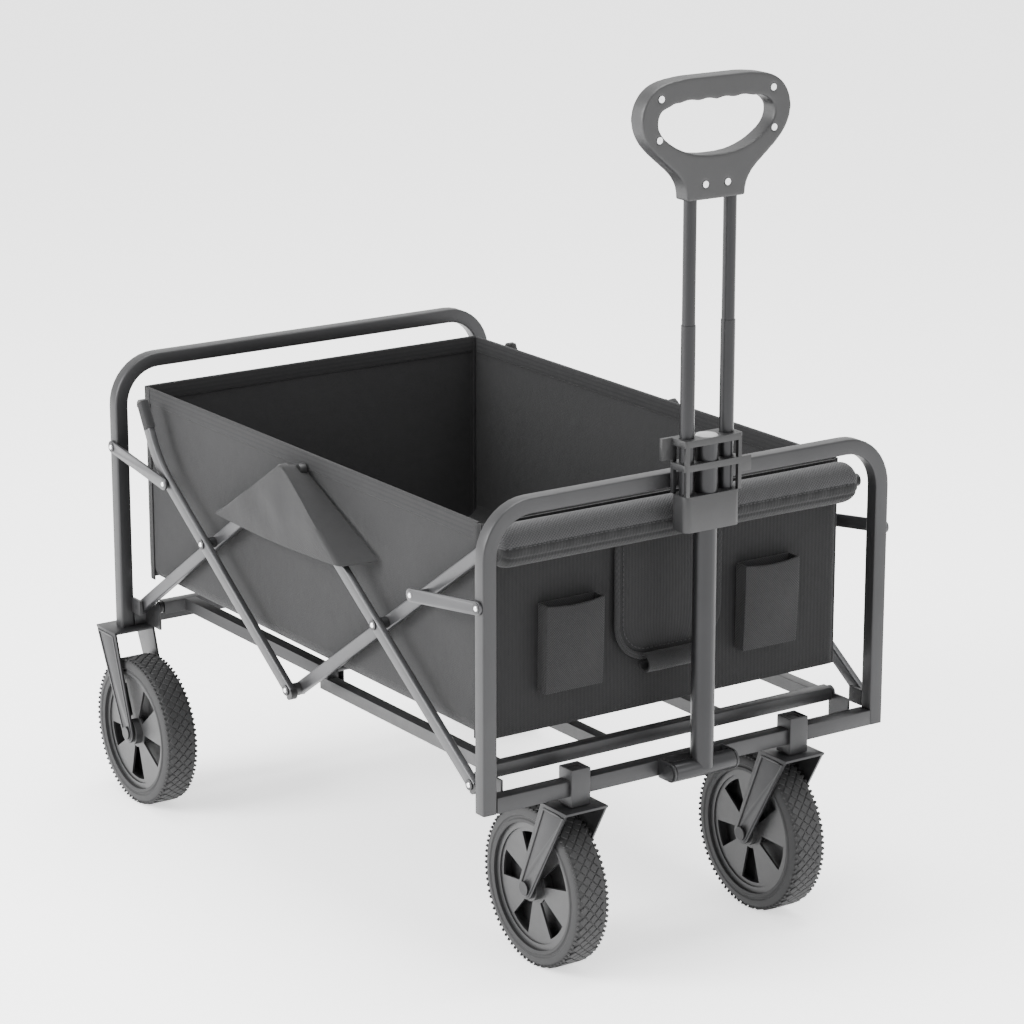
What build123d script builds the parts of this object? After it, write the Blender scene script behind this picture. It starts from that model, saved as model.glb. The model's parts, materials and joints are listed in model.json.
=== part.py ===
from build123d import *
import os
from math import atan2, cos, degrees, hypot, radians, sin, sqrt, tan

# Folding camp wagon, millimetres.  +X points to the pulling end, +Y to the left, +Z up.
# The origin lies on the ground, under the middle of the open wagon.

# ---- driving dimensions: frame -------------------------------------------------
FRAME_WIDTH = 592.0          # outside of the posts, across
FRAME_LENGTH = 888.0         # outside of one hoop to outside of the other, open
HOOP_HEIGHT = 370.0          # post foot to the top of the top rail
TUBE = 19.0                  # square tube of the hoops
TUBE_WALL = 1.2
HOOP_CORNER_R = 66.0         # outer bend of the top corners

# ---- driving dimensions: scissor bars and links --------------------------------
BAR_HEIGHT = 16.0
BAR_THICK = 9.0
BAR_WALL = 1.2
BAR_OVERHANG = 6.0           # bar beyond its end pivot
FOOT_OVERHANG = 4.5          # front outer bar beyond its lower pivot, beside the post
CORNER_SHORT = 4.0           # front inner bar stops this far below its full length
PIVOT_GAP = 13.0             # end pivots inboard of the posts' inner faces
PIVOT_LIFT = 11.0            # end pivots above the cross tubes
SCISSOR_RISE = 278.0         # lower pivots to the top pivot, open
FOLDED_HALF_GAP = 70.0       # half the distance between the end pivots, folded
BAR_TO_POST = 2.0            # inner bars to the posts
LAYER_GAP = 0.5              # link outside the post
OUTER_INSET = 2.0            # outer face of the outer bars inside the face of the posts
PIN_R = 4.0
PIN_HEAD_R = 6.5
PIN_HEAD = 1.6
SPACER_R = 7.0
SPACER_GAP = 0.4
LINK_HEIGHT = 16.0
LINK_THICK = 3.0
LINK_POST_RISE = 219.0       # link pivot on the posts above the lower pivots
CORNER_TIP_INSET = 90.0      # where the rear outer bar bends up, ahead of the rear lower pivot
CORNER_TIP_RUN = 40.0        # how far the bent tip runs rearwards
CORNER_TIP_RISE = 72.0       # and upwards

# ---- driving dimensions: wheels and forks ---------------------------------------
WHEEL_R = 100.0
TYRE_WIDTH = 46.0
TYRE_WALL = 22.0             # rim to tread
RIM_WIDTH = 36.0
RIM_LIP = 7.0
WEB_THICK = 3.0              # each of the two discs of a rim
WEB_INSET = 2.0              # disc behind the edge of the rim
HUB_R = 17.0
HUB_LENGTH = 50.0
WINDOWS = 5
WINDOW_ANGLE = 30.0
WINDOW_MARGIN = 5.0          # solid ring left inside and outside each window
AXLE_R = 5.0
AXLE_HEAD_R = 8.5
AXLE_HEAD = 3.0
FORK_GAP = 54.0              # clear width between the fork arms
FORK_PLATE = 3.0
FORK_LENGTH = 52.0           # top plate, fore and aft
FORK_END_R = 14.0            # rounded lower end of an arm
CROWN_OVER_WHEEL = 18.0      # top of a front fork above the tyre
FOOT_OVER_CROWN = 14.0       # post feet above the front forks
CASTER_INSET = 134.0         # caster axis inboard of the frame's side
CASTER_TRAIL = 58.0
WHEEL_TURN = {"rear_left": 20.0, "rear_right": 55.0, "front_left": 56.0, "front_right": 27.0}
REAR_AXLE_LEAD = 53.0        # rear axle ahead of the rear posts
SOCKET = 27.0                # square caster sleeve
SOCKET_WALL = 2.5
SOCKET_RISE = 33.0           # top of the sleeve above the post feet
SOCKET_LIFT = 0.8            # sleeve above the fork crown
STEM_R = 8.0

# ---- driving dimensions: handle --------------------------------------------------
POLE_R = 14.0
POLE_WALL = 1.5
POLE_LEAD = 22.0             # pole axis ahead of the hoop's front face
POLE_OVER_HOOP = 38.0        # top of the pole above the hoop
HUB_TUBE_R = 12.0
HUB_TUBE_LENGTH = 88.0
HUB_AXIS_RISE = 10.0         # tilt axis above the post feet
HANDLE_PIN_R = 6.0
BRACKET_PLATE = 3.0
COLLAR_DROP = 65.0           # foot of the collar below the top of the hoop
COLLAR_HEIGHT = 43.0
COLLAR_WIDTH = 80.0
COLLAR_DEPTH = 31.0
COLLAR_ROUND = 9.0
CAGE_ROUND = 4.0
CAGE_HEIGHT = 67.0
CAGE_BAND = 8.0
CAGE_WIDTH = 84.0
CAGE_POST = 5.0
ROD_Y = 28.5
UPPER_ROD_R = 7.8
ROD_WALL = 0.75              # wall of a lower rod
UPPER_ROD_WALL = 1.2
LOWER_ROD_LIFT = 8.0         # foot of the lower rods above the foot of the collar
LOWER_ROD_LENGTH = 235.0
ROD_OVERLAP = 80.0           # upper rod inside the lower one, pulled out
UPPER_ROD_CLEAR = 145.0      # upper rod between the lower rod and the grip
GRIP_HEIGHT = 141.0
GRIP_NECK = 84.0
# half outline of the grip above its neck: distance from the middle, height above the foot
GRIP_SIDE = [
    (44, 17), (51, 28), (64, 40), (82, 55), (96, 70), (104, 87), (105, 101), (99, 118), (86, 131), (66, 138),
]
GRIP_FLAT = 38.0             # half of the straight top
GRIP_THICK = 25.0
GRIP_ROD_DEPTH = 45.0
FINGER_HEIGHT = 62.0
FINGER_TOP_WALL = 28.0
# half outline of the hand opening: distance from the middle, depth below its waved edge
FINGER_SIDE = [(63, 1), (74, 6), (81, 14), (82, 23), (77, 34), (66, 44), (50, 53), (28, 60)]
FINGER_WAVES = 4
FINGER_WAVE_WIDTH = 25.0
FINGER_WAVE_DEPTH = 2.0
SCREW_R = 4.0
SCREW_REACH = 79.0           # upper screws from the middle

# ---- driving dimensions: tub and platform ----------------------------------------
TUB_FRONT_GAP = 33.0         # front wall to the front hoop
TUB_REAR_GAP = 16.0          # rear wall to the rear hoop
TUB_SIDE_GAP = 4.0           # side wall to the inner bars
TUB_FLOOR_RISE = 40.0        # floor above the lower pivots
TUB_TOP_DROP = 39.0          # top edge below the top of the hoops
CLOTH = 3.0
END_CLOTH_INSET = 15.0       # end wall short of the side wall's face
ROLL_R = 27.0
ROLL_STANDOFF = 20.0         # roll axis ahead of the front wall
ROLL_DROP = 23.0             # and below the tub's top edge
ROLL_SHORT = 2.0             # roll end inside the side wall's face
POCKET_WIDTH = 82.0
POCKET_HEIGHT = 108.0
POCKET_DEPTH = 20.0
POCKET_Y = 145.0
POCKET_RISE = 47.0           # pocket above the tub's floor
FLAP_WIDTH = 150.0
FLAP_RISE = 64.0             # flap above the tub's floor
FLAP_CORNER_R = 45.0
SIDE_FLAP_HALF = 190.0
SIDE_FLAP_DROP = 100.0       # lower edge below the top pivot
SIDE_FLAP_COVER = 16.0       # ridge above the top pivot
SIDE_FLAP_OUT = 8.0          # outside the outer bars
SIDE_FLAP_RIDGE = 14.0       # half of the ridge
DECK_TUBE = 16.0
DECK_WALL = 1.2
DECK_PIVOT_INSET = 24.0      # platform pivot inboard of the lower pivots
DECK_RISE = 2.0              # and above them
DECK_INSET = 22.0            # end of the pivot tube inside the posts
DECK_RAIL_INSET = 17.0       # outer front rail inside the end of the pivot tube
DECK_RAIL_STEP = 22.0        # rear rails inside the front ones
DECK_INNER_RAIL = 85.0
DECK_END_GAP = 2.0
DECK_ROD_R = 5.0
DECK_ROD_LIFT = 0.5
DECK_PLUG = 10.0             # solid end of the pivot tube
DECK_LUG = 3.0
DECK_LUG_GAP = 1.5

# ---- fits ------------------------------------------------------------------------
RUNNING = 0.05               # radial clearance of a pin, axle or rod in its bore
OPEN_PIVOT = 0.6             # radial clearance of the pivot that closes the loop
SEAT = 0.1                   # small gap between pieces that are fastened together
CLEAR = 0.5                  # gap between neighbours that move

# ---- worked out --------------------------------------------------------------------
HALF_W = FRAME_WIDTH / 2
FORK_CROWN_Z = 2 * WHEEL_R + CROWN_OVER_WHEEL
HOOP_FOOT_Z = FORK_CROWN_Z + FOOT_OVER_CROWN
RIM_R = WHEEL_R - TYRE_WALL
POST_IN = HALF_W - TUBE
HOOP_X = (FRAME_LENGTH - TUBE) / 2
HOOP_FRONT = HOOP_X + TUBE / 2
HOOP_TOP = HOOP_FOOT_Z + HOOP_HEIGHT
POST_Y = HALF_W - TUBE / 2
PIVOT_X = HOOP_X - TUBE / 2 - PIVOT_GAP
PIVOT_Z = HOOP_FOOT_Z + TUBE + PIVOT_LIFT
TOP_PIVOT_Z = PIVOT_Z + SCISSOR_RISE
BAR_ANGLE = degrees(atan2(SCISSOR_RISE, PIVOT_X))
INNER_Y1 = POST_IN - BAR_TO_POST
INNER_Y0 = INNER_Y1 - BAR_THICK
LINK_POST_Z = PIVOT_Z + LINK_POST_RISE
LINK_Y0 = HALF_W + LAYER_GAP
LINK_Y1 = LINK_Y0 + LINK_THICK
OUTER_Y1 = HALF_W - OUTER_INSET
OUTER_Y0 = OUTER_Y1 - BAR_THICK
CROSS_X = PIVOT_X / 2
CROSS_Z = PIVOT_Z + SCISSOR_RISE / 2
AXLE_X_REAR = -HOOP_X + REAR_AXLE_LEAD
AXLE_X_FRONT = HOOP_X - CASTER_TRAIL
POLE_X = HOOP_FRONT + POLE_LEAD
POLE_TOP = HOOP_TOP + POLE_OVER_HOOP
HUB_AXIS_Z = HOOP_FOOT_Z + HUB_AXIS_RISE
COLLAR_Z = HOOP_TOP - COLLAR_DROP
COLLAR_TOP = COLLAR_Z + COLLAR_HEIGHT
LOWER_ROD_R = UPPER_ROD_R + RUNNING + ROD_WALL
LOWER_ROD_BOTTOM = COLLAR_Z + LOWER_ROD_LIFT
LOWER_ROD_TOP = LOWER_ROD_BOTTOM + LOWER_ROD_LENGTH
UPPER_ROD_BOTTOM = LOWER_ROD_TOP - ROD_OVERLAP
GRIP_BOTTOM = LOWER_ROD_TOP + UPPER_ROD_CLEAR
GRIP_TOP = GRIP_BOTTOM + GRIP_HEIGHT
FINGER_TOP = GRIP_TOP - FINGER_TOP_WALL
CASTER_Y = HALF_W - CASTER_INSET
SOCKET_TOP = HOOP_FOOT_Z + SOCKET_RISE
SOCKET_FOOT = FORK_CROWN_Z + SOCKET_LIFT
TUB_X1 = HOOP_X - TUBE / 2 - TUB_FRONT_GAP
TUB_X0 = -HOOP_X + TUBE / 2 + TUB_REAR_GAP
TUB_SIDE = INNER_Y0 - TUB_SIDE_GAP
TUB_BOTTOM = PIVOT_Z + TUB_FLOOR_RISE
TUB_TOP = HOOP_TOP - TUB_TOP_DROP
END_HALF = TUB_SIDE - END_CLOTH_INSET
ROLL_Z = TUB_TOP - ROLL_DROP
POCKET_Z = TUB_BOTTOM + POCKET_RISE
FLAP_BOTTOM = TUB_BOTTOM + FLAP_RISE
FLAP_TOP = ROLL_Z - ROLL_R - CLEAR
DECK_PIVOT_X = PIVOT_X - DECK_PIVOT_INSET
DECK_Z = PIVOT_Z + DECK_RISE
DECK_HALF = POST_IN - DECK_INSET
DECK_RAILS_FRONT = (DECK_HALF - DECK_RAIL_INSET, DECK_INNER_RAIL)
DECK_RAILS_REAR = (DECK_RAILS_FRONT[0] - DECK_RAIL_STEP, DECK_INNER_RAIL - DECK_RAIL_STEP)


def link_share():
    """Share of the bar, from its lower pivot, where a link of one length meets it open and folded."""
    bar = hypot(PIVOT_X, SCISSOR_RISE)
    folded_rise = sqrt(bar ** 2 - FOLDED_HALF_GAP ** 2)
    folded_low_x = PIVOT_X - FOLDED_HALF_GAP
    post_z = LINK_POST_Z - PIVOT_Z
    open_term = PIVOT_X * HOOP_X + SCISSOR_RISE * post_z
    folded_term = FOLDED_HALF_GAP * (HOOP_X - folded_low_x) + folded_rise * post_z
    return (HOOP_X ** 2 - (HOOP_X - folded_low_x) ** 2) / (2 * (open_term - folded_term))


LINK_BAR_X = PIVOT_X * link_share()
LINK_BAR_Z = PIVOT_Z + SCISSOR_RISE * link_share()


# ---- shapes ------------------------------------------------------------------------
def block(x0, x1, y0, y1, z0, z1):
    """Box between two corners."""
    return Pos((x0 + x1) / 2, (y0 + y1) / 2, (z0 + z1) / 2) * Box(x1 - x0, y1 - y0, z1 - z0)


def rod_y(x, z, r, y0, y1):
    """Round rod along Y."""
    return Pos(x, (y0 + y1) / 2, z) * Rot(90, 0, 0) * Cylinder(r, y1 - y0)


def rod_z(x, y, r, z0, z1):
    """Upright round rod."""
    return Pos(x, y, (z0 + z1) / 2) * Cylinder(r, z1 - z0)


def across(solid):
    """A solid and its mirror image on the other side of the wagon."""
    return [solid, mirror(solid, Plane.XZ)]


def fore_aft(solids):
    """Mirror a list of solids from the front half to the rear half."""
    return [mirror(s, Plane.YZ) for s in solids]


def square_tube_y(x, z, size, wall, y0, y1):
    """Square tube along Y."""
    outer = block(x - size / 2, x + size / 2, y0, y1, z - size / 2, z + size / 2)
    half = size / 2 - wall
    return outer - block(x - half, x + half, y0, y1, z - half, z + half)


def extrude_xz(sketch, y0, y1):
    """Extrude a sketch drawn in X and Z from y0 to y1."""
    plane = Plane(origin=(0, y0, 0), x_dir=(1, 0, 0), z_dir=(0, -1, 0))
    return extrude(plane * sketch, amount=-(y1 - y0))


def extrude_yz(sketch, x0, x1):
    """Extrude a sketch drawn in Y and Z from x0 to x1."""
    plane = Plane(origin=(x0, 0, 0), x_dir=(0, 1, 0), z_dir=(1, 0, 0))
    return extrude(plane * sketch, amount=x1 - x0)


def save(name, solids):
    """Write one node; a group of pieces keeps its separate solids."""
    if isinstance(solids, list):
        shape = Compound(children=[p for s in solids for p in s.solids()])
    else:
        shape = Compound(children=list(solids.solids()))
    shape.label = name
    export_step(shape, f"parts/{name}.step")


# ---- hoops and cross tubes -----------------------------------------------------------
def hoop_outline(inset):
    """Upright outline of a hoop, drawn in by inset, with round top corners."""
    half = HALF_W - inset
    top = HOOP_TOP - inset
    tall = top - HOOP_FOOT_Z
    flat = Pos(0, HOOP_FOOT_Z + tall / 2) * Rectangle(2 * half, tall)
    corners = flat.vertices().filter_by(lambda v: v.Y > HOOP_FOOT_Z + 1)
    return fillet(corners, HOOP_CORNER_R - inset)


def hoop():
    """Bent square tube: two posts joined by a top rail."""
    back = HOOP_X - TUBE / 2
    outer = extrude_yz(hoop_outline(0) - hoop_outline(TUBE), back, back + TUBE)
    bore = hoop_outline(TUBE_WALL) - hoop_outline(TUBE - TUBE_WALL)
    return outer - extrude_yz(bore, back + TUBE_WALL, back + TUBE - TUBE_WALL)


def cross_tube():
    """Square tube between the feet of the posts."""
    return square_tube_y(HOOP_X, HOOP_FOOT_Z + TUBE / 2, TUBE, TUBE_WALL, -POST_IN, POST_IN)


def caster_socket():
    """Square sleeve through the front cross tube, open at the top."""
    half = SOCKET / 2
    bore = half - SOCKET_WALL
    outer = block(HOOP_X - half, HOOP_X + half, CASTER_Y - half, CASTER_Y + half, SOCKET_FOOT, SOCKET_TOP)
    return outer - block(HOOP_X - bore, HOOP_X + bore, CASTER_Y - bore, CASTER_Y + bore, SOCKET_FOOT, SOCKET_TOP)


def swivel_bush():
    """Plastic bush that fills the sleeve and guides the fork's stem."""
    half = SOCKET / 2 - SOCKET_WALL - SEAT
    top = SOCKET_TOP - 2
    outer = block(HOOP_X - half, HOOP_X + half, CASTER_Y - half, CASTER_Y + half, SOCKET_FOOT, top)
    return outer - rod_z(HOOP_X, CASTER_Y, STEM_R + RUNNING, SOCKET_FOOT, top)


def pivot_bracket():
    """Plate on a post's inner side that carries the end pivot."""
    plate_y1 = POST_IN + 4
    reach = PIVOT_X - BAR_HEIGHT / 2 - 2
    low = PIVOT_Z - BAR_HEIGHT / 2 - 2
    high = PIVOT_Z + BAR_HEIGHT / 2 + 2
    plate = block(reach, HOOP_X - TUBE / 2, POST_IN, plate_y1, low, high)
    return plate - rod_y(PIVOT_X, PIVOT_Z, PIN_R + RUNNING, POST_IN, plate_y1)


def deck_lug():
    """Lug on the inner side of a cross tube that carries the platform's pivot."""
    y0 = DECK_HALF + DECK_LUG_GAP
    y1 = y0 + DECK_LUG
    half = DECK_TUBE / 2
    lug = block(DECK_PIVOT_X, HOOP_X - TUBE / 2, y0, y1, HOOP_FOOT_Z, DECK_Z)
    lug += rod_y(DECK_PIVOT_X, DECK_Z, half, y0, y1)
    return lug - rod_y(DECK_PIVOT_X, DECK_Z, PIN_R + RUNNING, y0, y1)


def deck_pin():
    """Short pin from a lug into the platform's pivot tube."""
    y1 = DECK_HALF + DECK_LUG_GAP + DECK_LUG + SEAT
    pin = rod_y(DECK_PIVOT_X, DECK_Z, PIN_R, DECK_HALF - DECK_PLUG + 1, y1)
    return pin + rod_y(DECK_PIVOT_X, DECK_Z, PIN_HEAD_R, y1, y1 + PIN_HEAD)


def head_pin(x, z, y0, y1, head):
    """Pin along Y with a flat head at its outer end and a riveted end inside."""
    shank = rod_y(x, z, PIN_R, y0, y1)
    return shank + rod_y(x, z, PIN_HEAD_R, y1, y1 + head)


def ring_y(x, z, r, bore, y0, y1):
    """Round spacer along Y."""
    return rod_y(x, z, r, y0, y1) - rod_y(x, z, bore, y0, y1)


# ---- scissor bars ----------------------------------------------------------------------
def bar_between(x0, z0, x1, z1, y0, start_over, end_over):
    """Hollow flat bar from one point to another, standing over each end."""
    length = hypot(x1 - x0, z1 - z0)
    angle = degrees(atan2(z1 - z0, x1 - x0))
    full = length + start_over + end_over
    place = Pos(x0, y0 + BAR_THICK / 2, z0) * Rot(0, -angle, 0) * Pos((length + end_over - start_over) / 2, 0, 0)
    outer = place * Box(full, BAR_THICK, BAR_HEIGHT)
    bore = place * Box(full + 2, BAR_THICK - 2 * BAR_WALL, BAR_HEIGHT - 2 * BAR_WALL)
    return outer, bore


def drilled(bar, y0, holes):
    """Bar with a cross hole at each (x, z, radius)."""
    for x, z, r in holes:
        bar -= rod_y(x, z, r, y0 - 1, y0 + BAR_THICK + 1)
    return bar


def straight_bar(x0, z0, x1, z1, y0, holes, start_over=BAR_OVERHANG, end_over=BAR_OVERHANG):
    """Whole bar, hollow and drilled."""
    outer, bore = bar_between(x0, z0, x1, z1, y0, start_over, end_over)
    return drilled(outer - bore, y0, holes)


def end_cap(x, z, toward_x, toward_z, y0, over=BAR_OVERHANG):
    """Rounded plastic plug on a bar's end; the bar runs on towards the second point."""
    angle = atan2(toward_z - z, toward_x - x)
    end_x = x - (over + SEAT) * cos(angle)
    end_z = z - (over + SEAT) * sin(angle)
    nose = rod_y(end_x, end_z, BAR_HEIGHT / 2, y0, y0 + BAR_THICK)
    half_space = Pos(end_x, y0 + BAR_THICK / 2, end_z) * Rot(0, -degrees(angle), 0) * Pos(
        BAR_HEIGHT, 0, 0
    ) * Box(2 * BAR_HEIGHT, BAR_THICK + 2, 2 * BAR_HEIGHT)
    return nose - half_space


def spacer(x, z, y0, y1):
    """Plastic spacer round a pin."""
    return ring_y(x, z, SPACER_R, PIN_R + RUNNING, y0 + SPACER_GAP, y1 - SPACER_GAP)


def front_outer_bar():
    """From the front lower pivot up to the top pivot."""
    fit = PIN_R + RUNNING
    holes = [(PIVOT_X, PIVOT_Z, fit), (CROSS_X, CROSS_Z, fit), (0, TOP_PIVOT_Z, fit)]
    return straight_bar(PIVOT_X, PIVOT_Z, 0, TOP_PIVOT_Z, OUTER_Y0, holes, FOOT_OVERHANG)


def front_inner_bar():
    """From the middle lower pivot up to the front corner of the tub."""
    fit = PIN_R + RUNNING
    holes = [(0, PIVOT_Z, fit), (CROSS_X, CROSS_Z, fit)]
    return straight_bar(0, PIVOT_Z, PIVOT_X, TOP_PIVOT_Z, INNER_Y0, holes, end_over=-CORNER_SHORT)


def rear_inner_bar():
    """From the rear lower pivot up to the top pivot."""
    fit = PIN_R + RUNNING
    holes = [(-PIVOT_X, PIVOT_Z, fit), (-CROSS_X, CROSS_Z, fit), (0, TOP_PIVOT_Z, fit)]
    return straight_bar(-PIVOT_X, PIVOT_Z, 0, TOP_PIVOT_Z, INNER_Y0, holes)


def tip_points():
    """Bend and end of the rear outer bar's upturned tip."""
    bend_x = CORNER_TIP_INSET - PIVOT_X
    bend_z = PIVOT_Z - SCISSOR_RISE * bend_x / PIVOT_X
    return (bend_x, bend_z, bend_x - CORNER_TIP_RUN, bend_z + CORNER_TIP_RISE)


def rear_outer_bar():
    """From the middle lower pivot up to the rear corner of the tub, with an upturned tip."""
    bend_x, bend_z, tip_x, tip_z = tip_points()
    lower, lower_bore = bar_between(0, PIVOT_Z, bend_x, bend_z, OUTER_Y0, BAR_OVERHANG, 0)
    tip, tip_bore = bar_between(bend_x, bend_z, tip_x, tip_z, OUTER_Y0, 0, 0)
    knee = rod_y(bend_x, bend_z, BAR_HEIGHT / 2, OUTER_Y0, OUTER_Y1)
    knee_bore = rod_y(bend_x, bend_z, BAR_HEIGHT / 2 - BAR_WALL, OUTER_Y0 + BAR_WALL, OUTER_Y1 - BAR_WALL)
    bar = (lower + tip + knee) - lower_bore - tip_bore - knee_bore
    holes = [(0, PIVOT_Z, PIN_R + OPEN_PIVOT), (-CROSS_X, CROSS_Z, PIN_R + RUNNING)]
    return drilled(bar, OUTER_Y0, holes)


def corner_holder():
    """Plastic holder on the upturned tip that keeps the tub's rear corner."""
    bend_x, bend_z, tip_x, tip_z = tip_points()
    return end_cap(tip_x, tip_z, bend_x, bend_z, OUTER_Y0, 0)


# ---- stabiliser links --------------------------------------------------------------------
def front_link():
    """Flat link from a front post to the front inner bar, with a stub that reaches in to the bar."""
    length = hypot(HOOP_X - LINK_BAR_X, LINK_POST_Z - LINK_BAR_Z)
    angle = degrees(atan2(LINK_BAR_Z - LINK_POST_Z, LINK_BAR_X - HOOP_X))
    flat = SlotCenterToCenter(length, LINK_HEIGHT)
    strip = extrude_xz(flat, LINK_Y0, LINK_Y1)
    placed = Pos(HOOP_X, 0, LINK_POST_Z) * Rot(0, -angle, 0) * Pos(length / 2, 0, 0) * strip
    placed -= rod_y(HOOP_X, LINK_POST_Z, PIN_R + RUNNING, LINK_Y0 - 1, LINK_Y1 + 1)
    return placed


def link_stub(reach_y):
    """Riveted stub at the link's bar end; it stops just short of the bar."""
    return rod_y(LINK_BAR_X, LINK_BAR_Z, PIN_R, reach_y, LINK_Y0) + rod_y(
        LINK_BAR_X, LINK_BAR_Z, PIN_HEAD_R, LINK_Y1, LINK_Y1 + 0.2
    )


# ---- wheels and forks -----------------------------------------------------------------------
def tyre(x, y):
    """Rubber tyre with rounded shoulders and a bore for the rim."""
    half = TYRE_WIDTH / 2
    body = rod_y(x, WHEEL_R, WHEEL_R, y - half, y + half)
    shoulders = body.edges().filter_by(GeomType.CIRCLE)
    body = fillet(shoulders, 7)
    return body - rod_y(x, WHEEL_R, RIM_R + SEAT, y - half - 1, y + half + 1)


def rim(x, y, turn):
    """Moulded rim: outer ring, two discs with wedge windows and a long hub."""
    half = RIM_WIDTH / 2
    ring = ring_y(x, WHEEL_R, RIM_R, RIM_R - RIM_LIP, y - half, y + half)
    face = half - WEB_INSET
    discs = rod_y(x, WHEEL_R, RIM_R - RIM_LIP / 2, y - face, y + face)
    discs -= ring_y(x, WHEEL_R, RIM_R - RIM_LIP, HUB_R, y - face + WEB_THICK, y + face - WEB_THICK)
    inner = HUB_R + WINDOW_MARGIN
    outer = RIM_R - RIM_LIP - WINDOW_MARGIN
    wedge = outer * tan(radians(WINDOW_ANGLE / 2)) * 2
    sector = make_face(Polyline((0, 0), (2 * outer, -wedge), (2 * outer, wedge), close=True))
    window = extrude_xz(sector & (Circle(outer) - Circle(inner)), y - half, y + half)
    for k in range(WINDOWS):
        angle = turn + k * 360 / WINDOWS
        discs -= Pos(x, 0, WHEEL_R) * Rot(0, -angle, 0) * window
    hub = rod_y(x, WHEEL_R, HUB_R, y - HUB_LENGTH / 2, y + HUB_LENGTH / 2)
    return ring + discs + hub - rod_y(x, WHEEL_R, AXLE_R + RUNNING, y - HUB_LENGTH, y + HUB_LENGTH)


def fork_arm(plate_x, crown_z, axle_x, y0, y1):
    """Tapered arm from the crown plate down to a round end at the axle."""
    half = FORK_LENGTH / 2
    top = Polyline((plate_x - half, crown_z), (plate_x + half, crown_z))
    eye = Pos(axle_x, WHEEL_R) * Circle(FORK_END_R)
    sketch = make_hull(top.edges() + eye.edges())
    arm = extrude_xz(sketch, y0, y1)
    return arm - rod_y(axle_x, WHEEL_R, AXLE_R + RUNNING, y0 - 1, y1 + 1)


def fork(plate_x, crown_z, axle_x, y):
    """Pressed steel fork: crown plate and two arms."""
    half = FORK_GAP / 2
    outer = half + FORK_PLATE
    plate = block(
        plate_x - FORK_LENGTH / 2, plate_x + FORK_LENGTH / 2, y - outer, y + outer, crown_z - FORK_PLATE, crown_z
    )
    left = fork_arm(plate_x, crown_z, axle_x, y + half, y + outer)
    right = fork_arm(plate_x, crown_z, axle_x, y - outer, y - half)
    return plate + left + right


def axle(x, y):
    """Axle bolt with a domed head and a nut outside the arms."""
    reach = FORK_GAP / 2 + FORK_PLATE + SEAT
    shank = rod_y(x, WHEEL_R, AXLE_R, y - reach, y + reach)
    head = rod_y(x, WHEEL_R, AXLE_HEAD_R, y + reach, y + reach + AXLE_HEAD)
    nut = rod_y(x, WHEEL_R, AXLE_HEAD_R, y - reach - AXLE_HEAD, y - reach)
    return shank + head + nut


def caster_fork(y):
    """Swivelling fork with its stem."""
    body = fork(HOOP_X, FORK_CROWN_Z, AXLE_X_FRONT, y)
    return body + rod_z(HOOP_X, y, STEM_R, FORK_CROWN_Z - FORK_PLATE, SOCKET_TOP - 3)


# ---- handle ------------------------------------------------------------------------------------
def hub_tube():
    """Tube across the foot of the pole that turns on the handle pin."""
    half = HUB_TUBE_LENGTH / 2
    return ring_y(POLE_X, HUB_AXIS_Z, HUB_TUBE_R, HANDLE_PIN_R + RUNNING, -half, half)


def handle_bracket():
    """Plate on the front cross tube with two ears for the handle pin."""
    ear_in = HUB_TUBE_LENGTH / 2 + CLEAR
    ear_out = ear_in + BRACKET_PLATE
    low = HUB_AXIS_Z - HUB_TUBE_R
    high = HUB_AXIS_Z + HUB_TUBE_R
    plate = block(HOOP_FRONT, HOOP_FRONT + BRACKET_PLATE, -ear_out, ear_out, low, high)
    for side in (-1, 1):
        y0, y1 = sorted((side * ear_in, side * ear_out))
        ear = block(HOOP_FRONT, POLE_X, y0, y1, low, high)
        ear += rod_y(POLE_X, HUB_AXIS_Z, HUB_TUBE_R, y0, y1)
        plate += ear - rod_y(POLE_X, HUB_AXIS_Z, HANDLE_PIN_R + RUNNING, y0 - 1, y1 + 1)
    return plate


def handle_pin():
    """Pin through the ears and the hub tube."""
    reach = HUB_TUBE_LENGTH / 2 + CLEAR + BRACKET_PLATE + SEAT
    shank = rod_y(POLE_X, HUB_AXIS_Z, HANDLE_PIN_R, -reach, reach)
    for side in (-1, 1):
        y0, y1 = sorted((side * reach, side * (reach + PIN_HEAD)))
        shank += rod_y(POLE_X, HUB_AXIS_Z, HANDLE_PIN_R + 3, y0, y1)
    return shank


def pole_tube():
    """Round pole, saddled on the hub tube."""
    tube = rod_z(POLE_X, 0, POLE_R, HUB_AXIS_Z, POLE_TOP)
    tube -= rod_z(POLE_X, 0, POLE_R - POLE_WALL, HUB_AXIS_Z, POLE_TOP)
    return tube - rod_y(POLE_X, HUB_AXIS_Z, HUB_TUBE_R + SEAT, -2 * POLE_R, 2 * POLE_R)


def guide_bores(solid, z0, z1):
    """Bores for the pole and the two lower rods."""
    solid -= rod_z(POLE_X, 0, POLE_R + RUNNING, z0, z1)
    for y in (-ROD_Y, ROD_Y):
        solid -= rod_z(POLE_X, y, LOWER_ROD_R + RUNNING, z0, z1)
    return solid


def pole_collar():
    """Moulded block that joins the pole and the two rods."""
    half = COLLAR_DEPTH / 2
    body = block(POLE_X - half, POLE_X + half, -COLLAR_WIDTH / 2, COLLAR_WIDTH / 2, COLLAR_Z, COLLAR_TOP)
    body = fillet(body.edges().filter_by(Axis.Z), COLLAR_ROUND)
    return guide_bores(body, COLLAR_Z, COLLAR_TOP)


def cage_band(z0, z1):
    """One band of the rod guide."""
    half = COLLAR_DEPTH / 2
    band = block(POLE_X - half, POLE_X + half, -CAGE_WIDTH / 2, CAGE_WIDTH / 2, z0, z1)
    return guide_bores(fillet(band.edges().filter_by(Axis.Z), CAGE_ROUND), z0, z1)


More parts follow.
